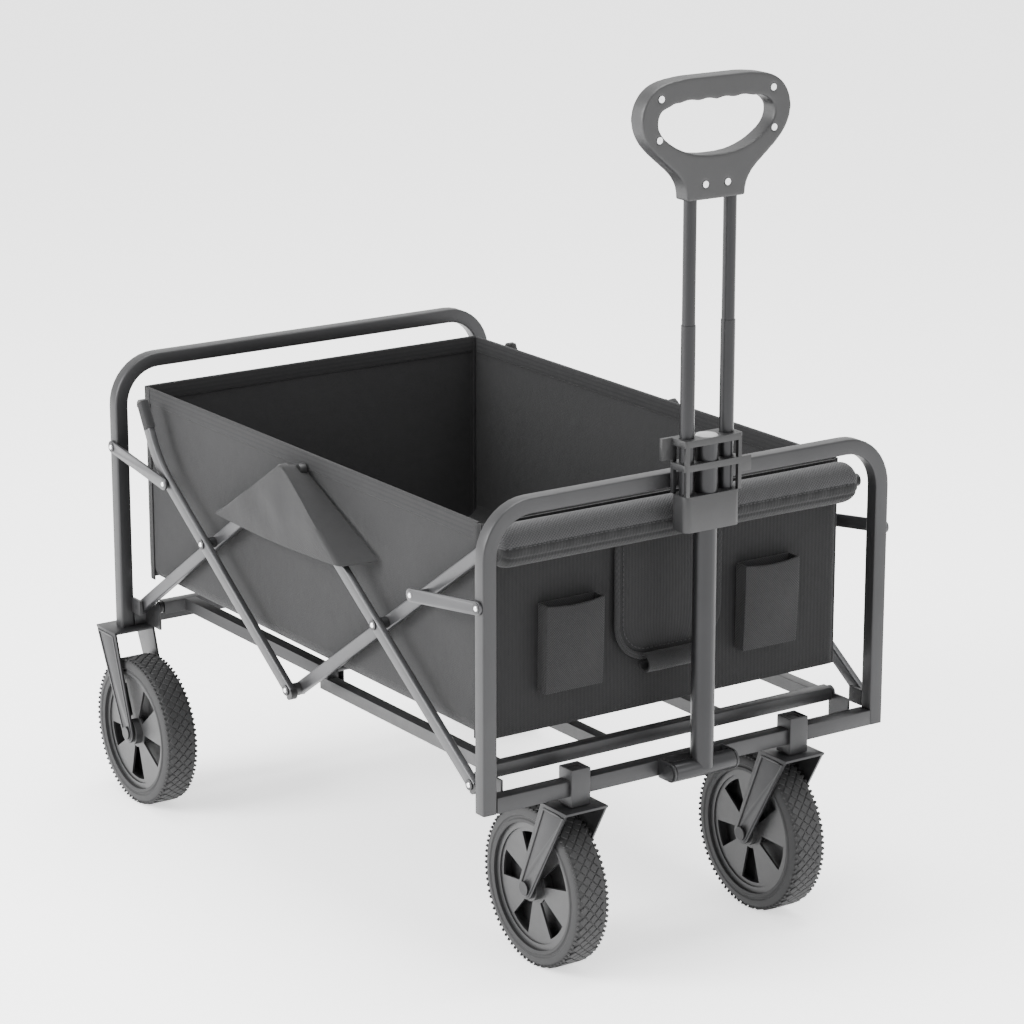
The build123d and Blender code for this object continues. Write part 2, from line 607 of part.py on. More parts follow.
def pole_cage():
    """Open rod guide above the collar: two bands, corner posts and two clip lugs."""
    base = COLLAR_TOP + SEAT
    top = base + CAGE_HEIGHT
    middle = base + CAGE_HEIGHT * 0.45
    cage = cage_band(top - CAGE_BAND, top) + cage_band(middle, middle + CAGE_BAND)
    half_x = COLLAR_DEPTH / 2
    half_y = CAGE_WIDTH / 2
    for sx in (-1, 1):
        for sy in (-1, 1):
            x0, x1 = sorted((POLE_X + sx * (half_x - CAGE_POST), POLE_X + sx * half_x))
            y0, y1 = sorted((sy * (half_y - CAGE_POST - 2), sy * (half_y - 2)))
            cage += block(x0, x1, y0, y1, base, top - CAGE_BAND / 2)
    cage += block(POLE_X - half_x, POLE_X - half_x + CAGE_POST, -half_y - 14, -half_y + 4, top - 26, top)
    cage += block(POLE_X + half_x - CAGE_POST, POLE_X + half_x, half_y - 4, half_y + 12, middle - 10, middle + 8)
    return cage


def lower_rod(y):
    """Hollow lower rod of the telescopic handle."""
    tube = rod_z(POLE_X, y, LOWER_ROD_R, LOWER_ROD_BOTTOM, LOWER_ROD_TOP)
    return tube - rod_z(POLE_X, y, UPPER_ROD_R + RUNNING, LOWER_ROD_BOTTOM, LOWER_ROD_TOP)


def upper_rod(y):
    """Upper tube, held in the grip."""
    top = GRIP_BOTTOM + GRIP_ROD_DEPTH
    tube = rod_z(POLE_X, y, UPPER_ROD_R, UPPER_ROD_BOTTOM, top)
    return tube - rod_z(POLE_X, y, UPPER_ROD_R - UPPER_ROD_WALL, UPPER_ROD_BOTTOM, top)


def grip_outline():
    """Face of the grip: a narrow neck that flares into a rounded handle."""
    neck = GRIP_NECK / 2
    side = [(neck, GRIP_BOTTOM)]
    side += [(y, GRIP_BOTTOM + rise) for y, rise in GRIP_SIDE]
    side += [(GRIP_FLAT, GRIP_TOP)]
    right = Spline(*side)
    left = Spline(*[(-y, z) for y, z in side])
    top = Line((GRIP_FLAT, GRIP_TOP), (-GRIP_FLAT, GRIP_TOP))
    foot = Line((-neck, GRIP_BOTTOM), (neck, GRIP_BOTTOM))
    return make_face([foot.edge(), right.edge(), top.edge(), left.edge()])


def finger_opening():
    """Opening for the hand: waved along the top, a wide curve below."""
    wave_end = FINGER_WAVES * FINGER_WAVE_WIDTH / 2
    right = [(y, FINGER_TOP - depth) for y, depth in FINGER_SIDE]
    left = [(-y, z) for y, z in reversed(right)]
    lowest = (0, FINGER_TOP - FINGER_HEIGHT)
    points = [(wave_end, FINGER_TOP), *right, lowest, *left, (-wave_end, FINGER_TOP)]
    curve = Spline(*points, tangents=[(1, 0), (1, 0)])
    edges = [curve.edge()]
    for k in range(FINGER_WAVES):
        y0 = -wave_end + k * FINGER_WAVE_WIDTH
        crest = (y0 + FINGER_WAVE_WIDTH / 2, FINGER_TOP + FINGER_WAVE_DEPTH)
        edges.append(ThreePointArc((y0, FINGER_TOP), crest, (y0 + FINGER_WAVE_WIDTH, FINGER_TOP)).edge())
    return make_face(edges)


def grip_shell(front):
    """Half of the grip, split across the thickness of the handle."""
    depth = GRIP_THICK / 2
    gap = SEAT / 2
    x0, x1 = (POLE_X + gap, POLE_X + depth) if front else (POLE_X - depth, POLE_X - gap)
    shell = extrude_yz(grip_outline(), x0, x1) - extrude_yz(finger_opening(), x0 - 1, x1 + 1)
    for y in (-ROD_Y, ROD_Y):
        shell -= rod_z(POLE_X, y, UPPER_ROD_R + RUNNING, GRIP_BOTTOM - 1, GRIP_BOTTOM + GRIP_ROD_DEPTH)
    for y, z in screw_places():
        shell -= Pos(POLE_X, y, z) * Rot(0, 90, 0) * Cylinder(SCREW_R + RUNNING, 2 * GRIP_THICK)
    return shell


def screw_places():
    """Six screws: four round the hand opening and two on the neck."""
    upper = GRIP_TOP - 21
    lower = GRIP_BOTTOM + 74
    neck = GRIP_BOTTOM + 18
    reach = SCREW_REACH
    low_reach = reach + 2
    inside = ROD_Y - UPPER_ROD_R - SCREW_R - 1
    right = [(reach, upper), (low_reach, lower), (inside, neck)]
    return right + [(-y, z) for y, z in right]


def grip_screw(y, z):
    """Screw through both shells, flush with their faces."""
    return Pos(POLE_X, y, z) * Rot(0, 90, 0) * Cylinder(SCREW_R, GRIP_THICK - 0.4)


# ---- platform -------------------------------------------------------------------------------------
def platform(rails):
    """Half platform in the front position: pivot tube and long rails."""
    half = DECK_TUBE / 2
    frame = square_tube_y(DECK_PIVOT_X, DECK_Z, DECK_TUBE, DECK_WALL, -DECK_HALF, DECK_HALF)
    for side in (-1, 1):
        y0, y1 = sorted((side * (DECK_HALF - DECK_PLUG), side * DECK_HALF))
        plug = block(DECK_PIVOT_X - half, DECK_PIVOT_X + half, y0, y1, DECK_Z - half, DECK_Z + half)
        frame += plug - rod_y(DECK_PIVOT_X, DECK_Z, PIN_R + RUNNING, y0, y1)
    rail_end = DECK_PIVOT_X - half
    for rail in rails:
        for y in (-rail, rail):
            outer = block(DECK_END_GAP, rail_end, y - half, y + half, DECK_Z - half, DECK_Z + half)
            core = half - DECK_WALL
            frame += outer - block(DECK_END_GAP, rail_end, y - core, y + core, DECK_Z - core, DECK_Z + core)
    return frame


def deck_rod():
    """Cross rod over the middle hinge line, on saddles of the front rails."""
    half = DECK_TUBE / 2
    rod_z0 = DECK_Z + half + DECK_ROD_LIFT
    z = rod_z0 + DECK_ROD_R
    reach = DECK_RAILS_FRONT[0] + half
    rod = rod_y(0, z, DECK_ROD_R, -reach, reach)
    for rail in DECK_RAILS_FRONT:
        for y in (-rail, rail):
            rod += block(-DECK_ROD_R, 4 * DECK_ROD_R, y - half, y + half, rod_z0, z + DECK_ROD_R)
    return rod


# ---- tub ---------------------------------------------------------------------------------------------
def end_panel(x0):
    """Cloth wall across an end of the tub."""
    return block(x0, x0 + CLOTH, -END_HALF, END_HALF, TUB_BOTTOM, TUB_TOP)


def side_panel():
    """Side cloth wall of the tub."""
    x0 = TUB_X0 + CLOTH + CLEAR
    x1 = TUB_X1 - CLOTH - CLEAR
    return block(x0, x1, TUB_SIDE - CLOTH, TUB_SIDE, TUB_BOTTOM, TUB_TOP)


def floor_panel():
    """Cloth floor of the tub."""
    x0 = TUB_X0 + CLOTH + CLEAR
    x1 = TUB_X1 - CLOTH - CLEAR
    side = TUB_SIDE - CLOTH - CLEAR
    return block(x0, x1, -side, side, TUB_BOTTOM, TUB_BOTTOM + CLOTH)


def cover_roll():
    """Rolled cover along the top of the front wall."""
    half = TUB_SIDE - ROLL_SHORT
    roll = rod_y(TUB_X1 + ROLL_STANDOFF, ROLL_Z, ROLL_R, -half, half)
    return roll - block(0, TUB_X1 + CLEAR, -2 * half, 2 * half, TUB_BOTTOM, HOOP_TOP)


def pocket(y):
    """Bellows pocket on the front wall, open at the top."""
    x0 = TUB_X1 + SEAT
    half = POCKET_WIDTH / 2
    top = POCKET_Z + POCKET_HEIGHT
    body = block(x0, x0 + POCKET_DEPTH, y - half, y + half, POCKET_Z, top)
    inner = half - CLOTH
    return body - block(x0 + CLOTH, x0 + POCKET_DEPTH - CLOTH, y - inner, y + inner, POCKET_Z + CLOTH, top + 1)


def front_flap():
    """Strap flap in the middle of the front wall, with round lower corners."""
    tall = FLAP_TOP - FLAP_BOTTOM
    face = Pos(0, FLAP_BOTTOM + tall / 2) * Rectangle(FLAP_WIDTH, tall)
    face = fillet(face.vertices().filter_by(lambda v: v.Y < FLAP_BOTTOM + 1), FLAP_CORNER_R)
    x0 = TUB_X1 + SEAT
    return extrude_yz(face, x0, x0 + CLOTH)


def side_flap():
    """Cloth tent from the side wall over the top pivot."""
    y1 = OUTER_Y1 + SIDE_FLAP_OUT
    low = TOP_PIVOT_Z - SIDE_FLAP_DROP
    apex = TOP_PIVOT_Z + SIDE_FLAP_COVER
    ridge = SIDE_FLAP_RIDGE
    points = [(-SIDE_FLAP_HALF, low), (SIDE_FLAP_HALF, low), (ridge, apex), (-ridge, apex)]
    sheet = extrude_xz(make_face(Polyline(*points, close=True)), y1 - CLOTH, y1)
    return sheet + block(-ridge, ridge, TUB_SIDE + SEAT, y1, apex - CLOTH, apex)


# ---- assembly --------------------------------------------------------------------------------------------
def frame_nodes():
    front_hoop = hoop()
    save("front_hoop", front_hoop)
    save("rear_hoop", mirror(front_hoop, Plane.YZ))
    tube = cross_tube()
    save("rear_cross_tube", mirror(tube, Plane.YZ))
    half = SOCKET / 2
    for y in (-CASTER_Y, CASTER_Y):
        tube -= block(HOOP_X - half, HOOP_X + half, y - half, y + half, HOOP_FOOT_Z - 1, HOOP_FOOT_Z + TUBE + 1)
    save("front_cross_tube", tube)
    save("caster_sockets", across(caster_socket()))
    save("swivel_bushes", across(swivel_bush()))
    brackets = across(pivot_bracket()) + across(deck_lug())
    save("front_pivot_brackets", brackets)
    save("rear_pivot_brackets", fore_aft(brackets))
    front_pins = across(head_pin(PIVOT_X, PIVOT_Z, POST_IN, OUTER_Y1 + SEAT, PIN_HEAD))
    front_pins += across(head_pin(HOOP_X, LINK_POST_Z, HALF_W, LINK_Y1 + SEAT, PIN_HEAD / 2 - SEAT))
    front_pins += across(deck_pin())
    save("front_pivot_pins", front_pins)
    rear_pin = rod_y(PIVOT_X, PIVOT_Z, PIN_R, INNER_Y0 - SEAT, POST_IN + 4)
    rear_pin += rod_y(PIVOT_X, PIVOT_Z, PIN_HEAD_R, INNER_Y0 - SEAT - PIN_HEAD, INNER_Y0 - SEAT)
    rear_pins = across(rear_pin) + across(deck_pin())
    rear_pins += across(head_pin(HOOP_X, LINK_POST_Z, HALF_W, LINK_Y1 + SEAT, PIN_HEAD / 2 - SEAT))
    save("rear_pivot_pins", fore_aft(rear_pins))


def bar_nodes():
    far = OUTER_Y1 + SEAT
    save("front_outer_bars", across(front_outer_bar()))
    save("front_inner_bars", across(front_inner_bar()))
    save("rear_inner_bars", across(rear_inner_bar()))
    save("rear_outer_bars", across(rear_outer_bar()))
    pins = across(head_pin(CROSS_X, CROSS_Z, INNER_Y0, far, PIN_HEAD))
    pins += across(head_pin(0, TOP_PIVOT_Z, INNER_Y0, far, PIN_HEAD))
    save("front_outer_pins", pins)
    save("front_inner_pins", across(head_pin(0, PIVOT_Z, INNER_Y0, far, PIN_HEAD)))
    save("rear_inner_pins", across(head_pin(-CROSS_X, CROSS_Z, INNER_Y0, far, PIN_HEAD)))
    plastics = across(end_cap(PIVOT_X, PIVOT_Z, 0, TOP_PIVOT_Z, OUTER_Y0, FOOT_OVERHANG))
    plastics += across(end_cap(0, TOP_PIVOT_Z, PIVOT_X, PIVOT_Z, OUTER_Y0))
    plastics += across(spacer(CROSS_X, CROSS_Z, INNER_Y1, OUTER_Y0))
    plastics += across(spacer(0, TOP_PIVOT_Z, INNER_Y1, OUTER_Y0))
    save("front_outer_caps", plastics)
    plastics = across(end_cap(0, PIVOT_Z, PIVOT_X, TOP_PIVOT_Z, INNER_Y0))
    plastics += across(end_cap(PIVOT_X, TOP_PIVOT_Z, 0, PIVOT_Z, INNER_Y0, -CORNER_SHORT))
    plastics += across(spacer(0, PIVOT_Z, INNER_Y1, OUTER_Y0))
    save("front_inner_caps", plastics)
    plastics = across(end_cap(-PIVOT_X, PIVOT_Z, 0, TOP_PIVOT_Z, INNER_Y0))
    plastics += across(end_cap(0, TOP_PIVOT_Z, -PIVOT_X, PIVOT_Z, INNER_Y0))
    plastics += across(spacer(-CROSS_X, CROSS_Z, INNER_Y1, OUTER_Y0))
    save("rear_inner_caps", plastics)
    plastics = across(end_cap(0, PIVOT_Z, -PIVOT_X, TOP_PIVOT_Z, OUTER_Y0)) + across(corner_holder())
    save("rear_outer_caps", plastics)


def link_nodes():
    strip = front_link()
    save("front_links", across(strip + link_stub(INNER_Y1 + CLEAR)))
    save("rear_links", fore_aft(across(strip + link_stub(OUTER_Y1 + CLEAR))))


def wheel_nodes():
    rear_y = POST_Y
    save("rear_forks", across(fork(-HOOP_X, HOOP_FOOT_Z - SEAT, AXLE_X_REAR, rear_y)))
    save("rear_axles", across(axle(AXLE_X_REAR, rear_y)))
    for side, sign in (("left", 1), ("right", -1)):
        save(f"rear_{side}_tyre", tyre(AXLE_X_REAR, sign * rear_y))
        save(f"rear_{side}_rim", rim(AXLE_X_REAR, sign * rear_y, WHEEL_TURN[f"rear_{side}"]))
        save(f"front_{side}_tyre", tyre(AXLE_X_FRONT, sign * CASTER_Y))
        save(f"front_{side}_rim", rim(AXLE_X_FRONT, sign * CASTER_Y, WHEEL_TURN[f"front_{side}"]))
        save(f"caster_{side}_fork", caster_fork(sign * CASTER_Y))
        save(f"caster_{side}_axle", axle(AXLE_X_FRONT, sign * CASTER_Y))


def handle_nodes():
    save("handle_bracket", handle_bracket())
    save("handle_pin", handle_pin())
    save("pole_hub", hub_tube())
    save("pole_tube", pole_tube())
    save("pole_collar", pole_collar())
    save("pole_cage", pole_cage())
    save("lower_rods", [lower_rod(-ROD_Y), lower_rod(ROD_Y)])
    save("upper_rods", [upper_rod(-ROD_Y), upper_rod(ROD_Y)])
    save("grip_front_shell", grip_shell(True))
    save("grip_rear_shell", grip_shell(False))
    save("grip_screws", [grip_screw(y, z) for y, z in screw_places()])


def tub_nodes():
    save("front_panel", end_panel(TUB_X1 - CLOTH))
    save("rear_panel", end_panel(TUB_X0))
    save("side_panels", across(side_panel()))
    save("floor_panel", floor_panel())
    save("cover_roll", cover_roll())
    save("front_pockets", [pocket(-POCKET_Y), pocket(POCKET_Y)])
    save("front_flap", front_flap())
    save("side_flaps", across(side_flap()))
    save("front_platform", platform(DECK_RAILS_FRONT))
    save("platform_rod", deck_rod())
    save("rear_platform", fore_aft([platform(DECK_RAILS_REAR)]))


os.makedirs("parts", exist_ok=True)
frame_nodes()
bar_nodes()
link_nodes()
wheel_nodes()
handle_nodes()
tub_nodes()
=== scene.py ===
import json
import math
from math import cos, pi, radians, sin

import bpy
from mathutils import Matrix, Vector, noise


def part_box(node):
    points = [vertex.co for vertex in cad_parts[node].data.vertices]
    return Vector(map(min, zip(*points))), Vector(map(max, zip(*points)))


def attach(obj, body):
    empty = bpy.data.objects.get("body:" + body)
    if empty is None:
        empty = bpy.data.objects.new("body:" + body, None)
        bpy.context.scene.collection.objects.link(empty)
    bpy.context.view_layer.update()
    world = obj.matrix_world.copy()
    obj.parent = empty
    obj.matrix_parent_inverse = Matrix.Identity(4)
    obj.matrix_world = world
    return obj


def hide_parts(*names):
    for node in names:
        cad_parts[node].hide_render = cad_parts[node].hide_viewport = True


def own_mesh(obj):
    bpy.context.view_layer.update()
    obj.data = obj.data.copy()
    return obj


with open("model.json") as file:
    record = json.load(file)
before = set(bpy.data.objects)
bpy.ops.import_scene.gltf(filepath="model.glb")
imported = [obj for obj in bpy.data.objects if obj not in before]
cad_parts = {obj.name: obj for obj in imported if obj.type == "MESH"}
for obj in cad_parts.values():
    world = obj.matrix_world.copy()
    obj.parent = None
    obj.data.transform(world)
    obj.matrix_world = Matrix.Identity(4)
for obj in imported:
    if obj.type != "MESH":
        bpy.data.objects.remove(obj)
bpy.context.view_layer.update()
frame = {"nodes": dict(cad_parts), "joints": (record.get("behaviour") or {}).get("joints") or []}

# ---- places read from the frame ------------------------------------------------
JOINT = {j["name"]: Vector(j["pos_m"]) for j in frame["joints"] if "pos_m" in j}
HOOP_LOW, HOOP_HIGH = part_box("front_hoop")
WALL_LOW, WALL_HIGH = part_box("side_panels")
ROLL_LOW, ROLL_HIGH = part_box("cover_roll")
POCKET_LOW, POCKET_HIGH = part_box("front_pockets")
FLAP_LOW, FLAP_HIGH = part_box("front_flap")
BAR_OUT_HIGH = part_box("front_outer_bars")[1]
BAR_IN_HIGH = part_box("front_inner_bars")[1]
TUBE = HOOP_HIGH.x - HOOP_LOW.x
TUB_TOP = WALL_HIGH.z
TUB_FLOOR = WALL_LOW.z
TUB_SIDE = WALL_HIGH.y
TUB_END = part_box("front_panel")[1].x
TUB_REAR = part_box("rear_panel")[0].x


# ---- making helpers --------------------------------------------------------------
MERGE_GAP = 0.00002


def deselect():
    """Leave nothing selected and no mode open."""
    if bpy.context.object and bpy.context.object.mode != "OBJECT":
        bpy.ops.object.mode_set(mode="OBJECT")
    bpy.ops.object.select_all(action="DESELECT")


def only(piece):
    """Select one object and make it active."""
    deselect()
    piece.select_set(True)
    bpy.context.view_layer.objects.active = piece


def settle(piece):
    """Put the piece's place into its mesh, with its object at the origin."""
    only(piece)
    bpy.ops.object.transform_apply(location=True, rotation=True, scale=True)
    return piece


def modify(piece, kind, **values):
    """Add a modifier, set it and apply it."""
    only(piece)
    step = piece.modifiers.new(kind.lower(), kind)
    for key, value in values.items():
        setattr(step, key, value)
    bpy.ops.object.modifier_apply(modifier=step.name)
    return piece


def smooth(piece, angle=35):
    """Smooth shading, broken at edges sharper than the angle."""
    only(piece)
    bpy.ops.object.shade_smooth_by_angle(angle=radians(angle))
    return piece


def outward(piece):
    """Merge doubles and turn every face outwards."""
    only(piece)
    bpy.ops.object.mode_set(mode="EDIT")
    bpy.ops.mesh.select_all(action="SELECT")
    bpy.ops.mesh.remove_doubles(threshold=MERGE_GAP)
    bpy.ops.mesh.normals_make_consistent(inside=False)
    bpy.ops.object.mode_set(mode="OBJECT")
    return piece


def close_ends(piece):
    """Fill the open rims of a tube."""
    only(piece)
    bpy.ops.object.mode_set(mode="EDIT")
    bpy.ops.mesh.select_all(action="SELECT")
    bpy.ops.mesh.remove_doubles(threshold=MERGE_GAP)
    bpy.ops.mesh.select_mode(type="VERT")
    bpy.ops.mesh.select_all(action="DESELECT")
    bpy.ops.mesh.select_non_manifold(extend=False)
    bpy.ops.mesh.fill_holes(sides=0)
    bpy.ops.mesh.select_all(action="SELECT")
    bpy.ops.mesh.normals_make_consistent(inside=False)
    bpy.ops.object.mode_set(mode="OBJECT")
    return piece


def grid(name, columns, rows, place, size=(1.0, 1.0)):
    """Grid whose point at (u, v), each 0 to 1, goes to place(u, v); its UV map is in metres."""
    deselect()
    bpy.ops.mesh.primitive_grid_add(x_subdivisions=columns, y_subdivisions=rows, size=1)
    piece = bpy.context.object
    piece.name = name
    piece.data.name = name
    shares = [(v.co.x + 0.5, v.co.y + 0.5) for v in piece.data.vertices]
    layer = piece.data.uv_layers.active or piece.data.uv_layers.new(name="cloth")
    layer.name = "cloth"
    for loop in piece.data.loops:
        u, v = shares[loop.vertex_index]
        layer.data[loop.index].uv = (u * size[0], v * size[1])
    for vertex, (u, v) in zip(piece.data.vertices, shares):
        vertex.co = place(min(max(u, 0), 1), min(max(v, 0), 1))
    piece.data.update()
    return piece


def rounded(half_a, half_b, radius, steps=4):
    """Closed outline of a rounded rectangle, as (a, b) points."""
    points = []
    for quarter, (sa, sb) in enumerate(((1, 1), (-1, 1), (-1, -1), (1, -1))):
        for k in range(steps + 1):
            turn = pi / 2 * (quarter + k / steps)
            a = sa * (half_a - radius) + radius * cos(turn)
            b = sb * (half_b - radius) + radius * sin(turn)
            points.append((a, b))
    return points


def ring_outline(radius, steps=24):
    """Closed round outline."""
    return [(radius * cos(2 * pi * k / steps), radius * sin(2 * pi * k / steps)) for k in range(steps)]


def sweep(name, path, outline, side):
    """Closed solid: the outline carried along the path; side is the outline's first direction."""
    path = [Vector(p) for p in path]
    side = Vector(side).normalized()
    loop = outline + outline[:1]

    def place(u, v):
        i = min(int(round(u * (len(path) - 1))), len(path) - 1)
        ahead = path[min(i + 1, len(path) - 1)] - path[max(i - 1, 0)]
        up = ahead.normalized().cross(side).normalized()
        a, b = loop[min(int(round(v * (len(loop) - 1))), len(loop) - 1)]
        return path[i] + side * a + up * b

    length = sum((b - a).length for a, b in zip(path, path[1:]))
    around = sum(math.dist(a, b) for a, b in zip(loop, loop[1:]))
    piece = grid(name, len(path) - 1, len(loop) - 1, place, (length, around))
    return smooth(close_ends(piece))


def arc(centre, radius, start, stop, steps, plane):
    """Points on an arc; plane turns (a, b) into a place."""
    turns = [radians(start + (stop - start) * k / steps) for k in range(steps + 1)]
    return [plane(centre[0] + radius * cos(t), centre[1] + radius * sin(t)) for t in turns]


def mirrored(piece, name):
    """A copy on the other side of the wagon, with its own mesh."""
    only(piece)
    bpy.ops.object.duplicate(linked=False)
    copy = bpy.context.object
    copy.name = name
    copy.data.name = name
    bpy.ops.transform.mirror(
        constraint_axis=(False, True, False), center_override=(0, 0, 0), orient_type="GLOBAL",
    )
    settle(copy)
    return outward(copy)


def joined(name, parts):
    """Several objects as one piece."""
    deselect()
    for part in parts:
        part.select_set(True)
    bpy.context.view_layer.objects.active = parts[0]
    if len(parts) > 1:
        bpy.ops.object.join()
    piece = bpy.context.object
    piece.name = name
    piece.data.name = name
    return settle(piece)


def thick(piece, depth):
    """Give a sheet its thickness, half to each side."""
    return modify(piece, "SOLIDIFY", thickness=depth, offset=0.0, use_even_offset=True)


def softened(node, width):
    """A copy of a designed part with its sharp edges rounded, standing for that part."""
    only(frame["nodes"][node])
    bpy.ops.object.duplicate(linked=False)
    copy = bpy.context.object
    copy.name = f"{node}_finished"
    copy.data.name = copy.name
    bpy.ops.object.mode_set(mode="EDIT")
    bpy.ops.mesh.select_all(action="SELECT")
    bpy.ops.mesh.remove_doubles(threshold=0.00001)
    bpy.ops.mesh.dissolve_limited(angle_limit=radians(1.0))
    bpy.ops.object.mode_set(mode="OBJECT")
    modify(copy, "BEVEL", width=width, segments=2, limit_method="ANGLE", angle_limit=radians(32),
           harden_normals=False, use_clamp_overlap=True)
    copy.data.materials.clear()
    smooth(copy, 30)
    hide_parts(node)
    return copy


def finish_piece(piece, material, body, slot=None, stands_for=()):
    """Give a piece its material, its body and the parts that it stands for; slot is not used."""
    piece.data.materials.clear()
    piece.data.materials.append(material)
    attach(piece, body)
    if stands_for:
        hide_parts(*stands_for)
    return piece


# ---- materials ---------------------------------------------------------------------
class Nodes:
    """Short way to build a material's node tree."""

    def __init__(self, name):
        self.material = bpy.data.materials.new(name)
        self.material.use_nodes = True
        self.tree = self.material.node_tree
        self.shader = self.tree.nodes["Principled BSDF"]

    def add(self, kind, inputs=None, **settings):
        node = self.tree.nodes.new(kind)
        for key, value in settings.items():
            setattr(node, key, value)
        for key, value in (inputs or {}).items():
            if isinstance(value, bpy.types.NodeSocket):
                self.tree.links.new(value, node.inputs[key])
            else:
                node.inputs[key].default_value = value
        return node

    def math(self, operation, a, b=0.0):
        return self.add("ShaderNodeMath", {0: a, 1: b}, operation=operation).outputs[0]

    def coords(self, uv=False):
        if uv:
            return self.add("ShaderNodeUVMap", uv_map="cloth").outputs["UV"]
        return self.add("ShaderNodeTexCoord").outputs["Object"]

    def noise(self, vector, scale, detail=3.0, roughness=0.5):
        values = {"Vector": vector, "Scale": scale, "Detail": detail, "Roughness": roughness}
        return self.add("ShaderNodeTexNoise", values).outputs["Fac"]

    def ramp(self, fac, stops):
        node = self.add("ShaderNodeValToRGB", {"Fac": fac})
        while len(node.color_ramp.elements) < len(stops):
            node.color_ramp.elements.new(0.5)
        for element, (position, colour) in zip(node.color_ramp.elements, stops):
            element.position = position
            element.color = (*colour, 1) if not isinstance(colour, float) else (colour, colour, colour, 1)
        return node.outputs["Color"]

    def spread(self, fac, low, high):
        values = {"Value": fac, "To Min": low, "To Max": high}
        return self.add("ShaderNodeMapRange", values).outputs["Result"]

    def bump(self, height, strength, distance, normal=None):
        values = {"Height": height, "Strength": strength, "Distance": distance}
        if normal is not None:
            values["Normal"] = normal
        return self.add("ShaderNodeBump", values).outputs["Normal"]

    def set(self, **values):
        for key, value in values.items():
            socket = self.shader.inputs[key.replace("_", " ")]
            if isinstance(value, bpy.types.NodeSocket):
                self.tree.links.new(value, socket)
            else:
                socket.default_value = value


def tint(base, share):
    """A grey a share darker or lighter."""
    return tuple(min(1.0, c * share) for c in base)


def powder_coat(name, base, rough=0.42):
    """Graphite powder coat: fine orange peel, slight colour drift, rubbed patches."""
    n = Nodes(name)
    place = n.coords()
    drift = n.noise(place, 9.0, 4.0)
    colour = n.ramp(drift, [(0.3, tint(base, 0.88)), (0.7, tint(base, 1.12))])
    rub = n.noise(place, 60.0, 5.0, 0.65)
    roughness = n.spread(rub, rough - 0.08, rough + 0.10)
    peel = n.noise(place, 900.0, 2.0)
    n.set(Base_Color=colour, Roughness=roughness, Metallic=0.55, Normal=n.bump(peel, 0.25, 0.0004))
    n.shader.inputs["Specular IOR Level"].default_value = 0.32
    n.shader.inputs["Coat Weight"].default_value = 0.12
    n.shader.inputs["Coat Roughness"].default_value = 0.35
    return n.material


def moulded_plastic(name, base, rough=0.5, grain=1400.0):
    """Moulded plastic with a fine spark-eroded grain."""
    n = Nodes(name)
    place = n.coords()
    colour = n.ramp(n.noise(place, 14.0, 3.0), [(0.25, tint(base, 0.85)), (0.75, tint(base, 1.15))])
    texture = n.add("ShaderNodeTexVoronoi", {"Vector": place, "Scale": grain}).outputs["Distance"]
    scuff = n.noise(place, 75.0, 6.0, 0.7)
    n.set(Base_Color=colour, Roughness=n.spread(scuff, rough - 0.09, rough + 0.1),
          Normal=n.bump(texture, 0.18, 0.0003))
    return n.material


def tyre_rubber(name, base):
    """Matte rubber with patches of dust."""
    n = Nodes(name)
    place = n.coords()
    dust = n.noise(place, 35.0, 6.0, 0.62)
    colour = n.ramp(dust, [(0.3, tint(base, 0.8)), (0.62, base), (0.8, tint(base, 1.5))])
    fine = n.noise(place, 700.0, 3.0)
    n.set(Base_Color=colour, Roughness=n.spread(dust, 0.62, 0.82), Normal=n.bump(fine, 0.3, 0.0005))
    return n.material


def bright_steel(name):
    """Zinc plated steel with fine turning marks."""
    n = Nodes(name)
    place = n.coords()
    marks = n.noise(place, 500.0, 4.0)
    colour = n.ramp(marks, [(0.2, (0.62, 0.62, 0.63)), (0.8, (0.86, 0.86, 0.87))])
    n.set(Base_Color=colour, Metallic=1.0, Roughness=n.spread(marks, 0.22, 0.36),
          Normal=n.bump(marks, 0.1, 0.0002))
    return n.material


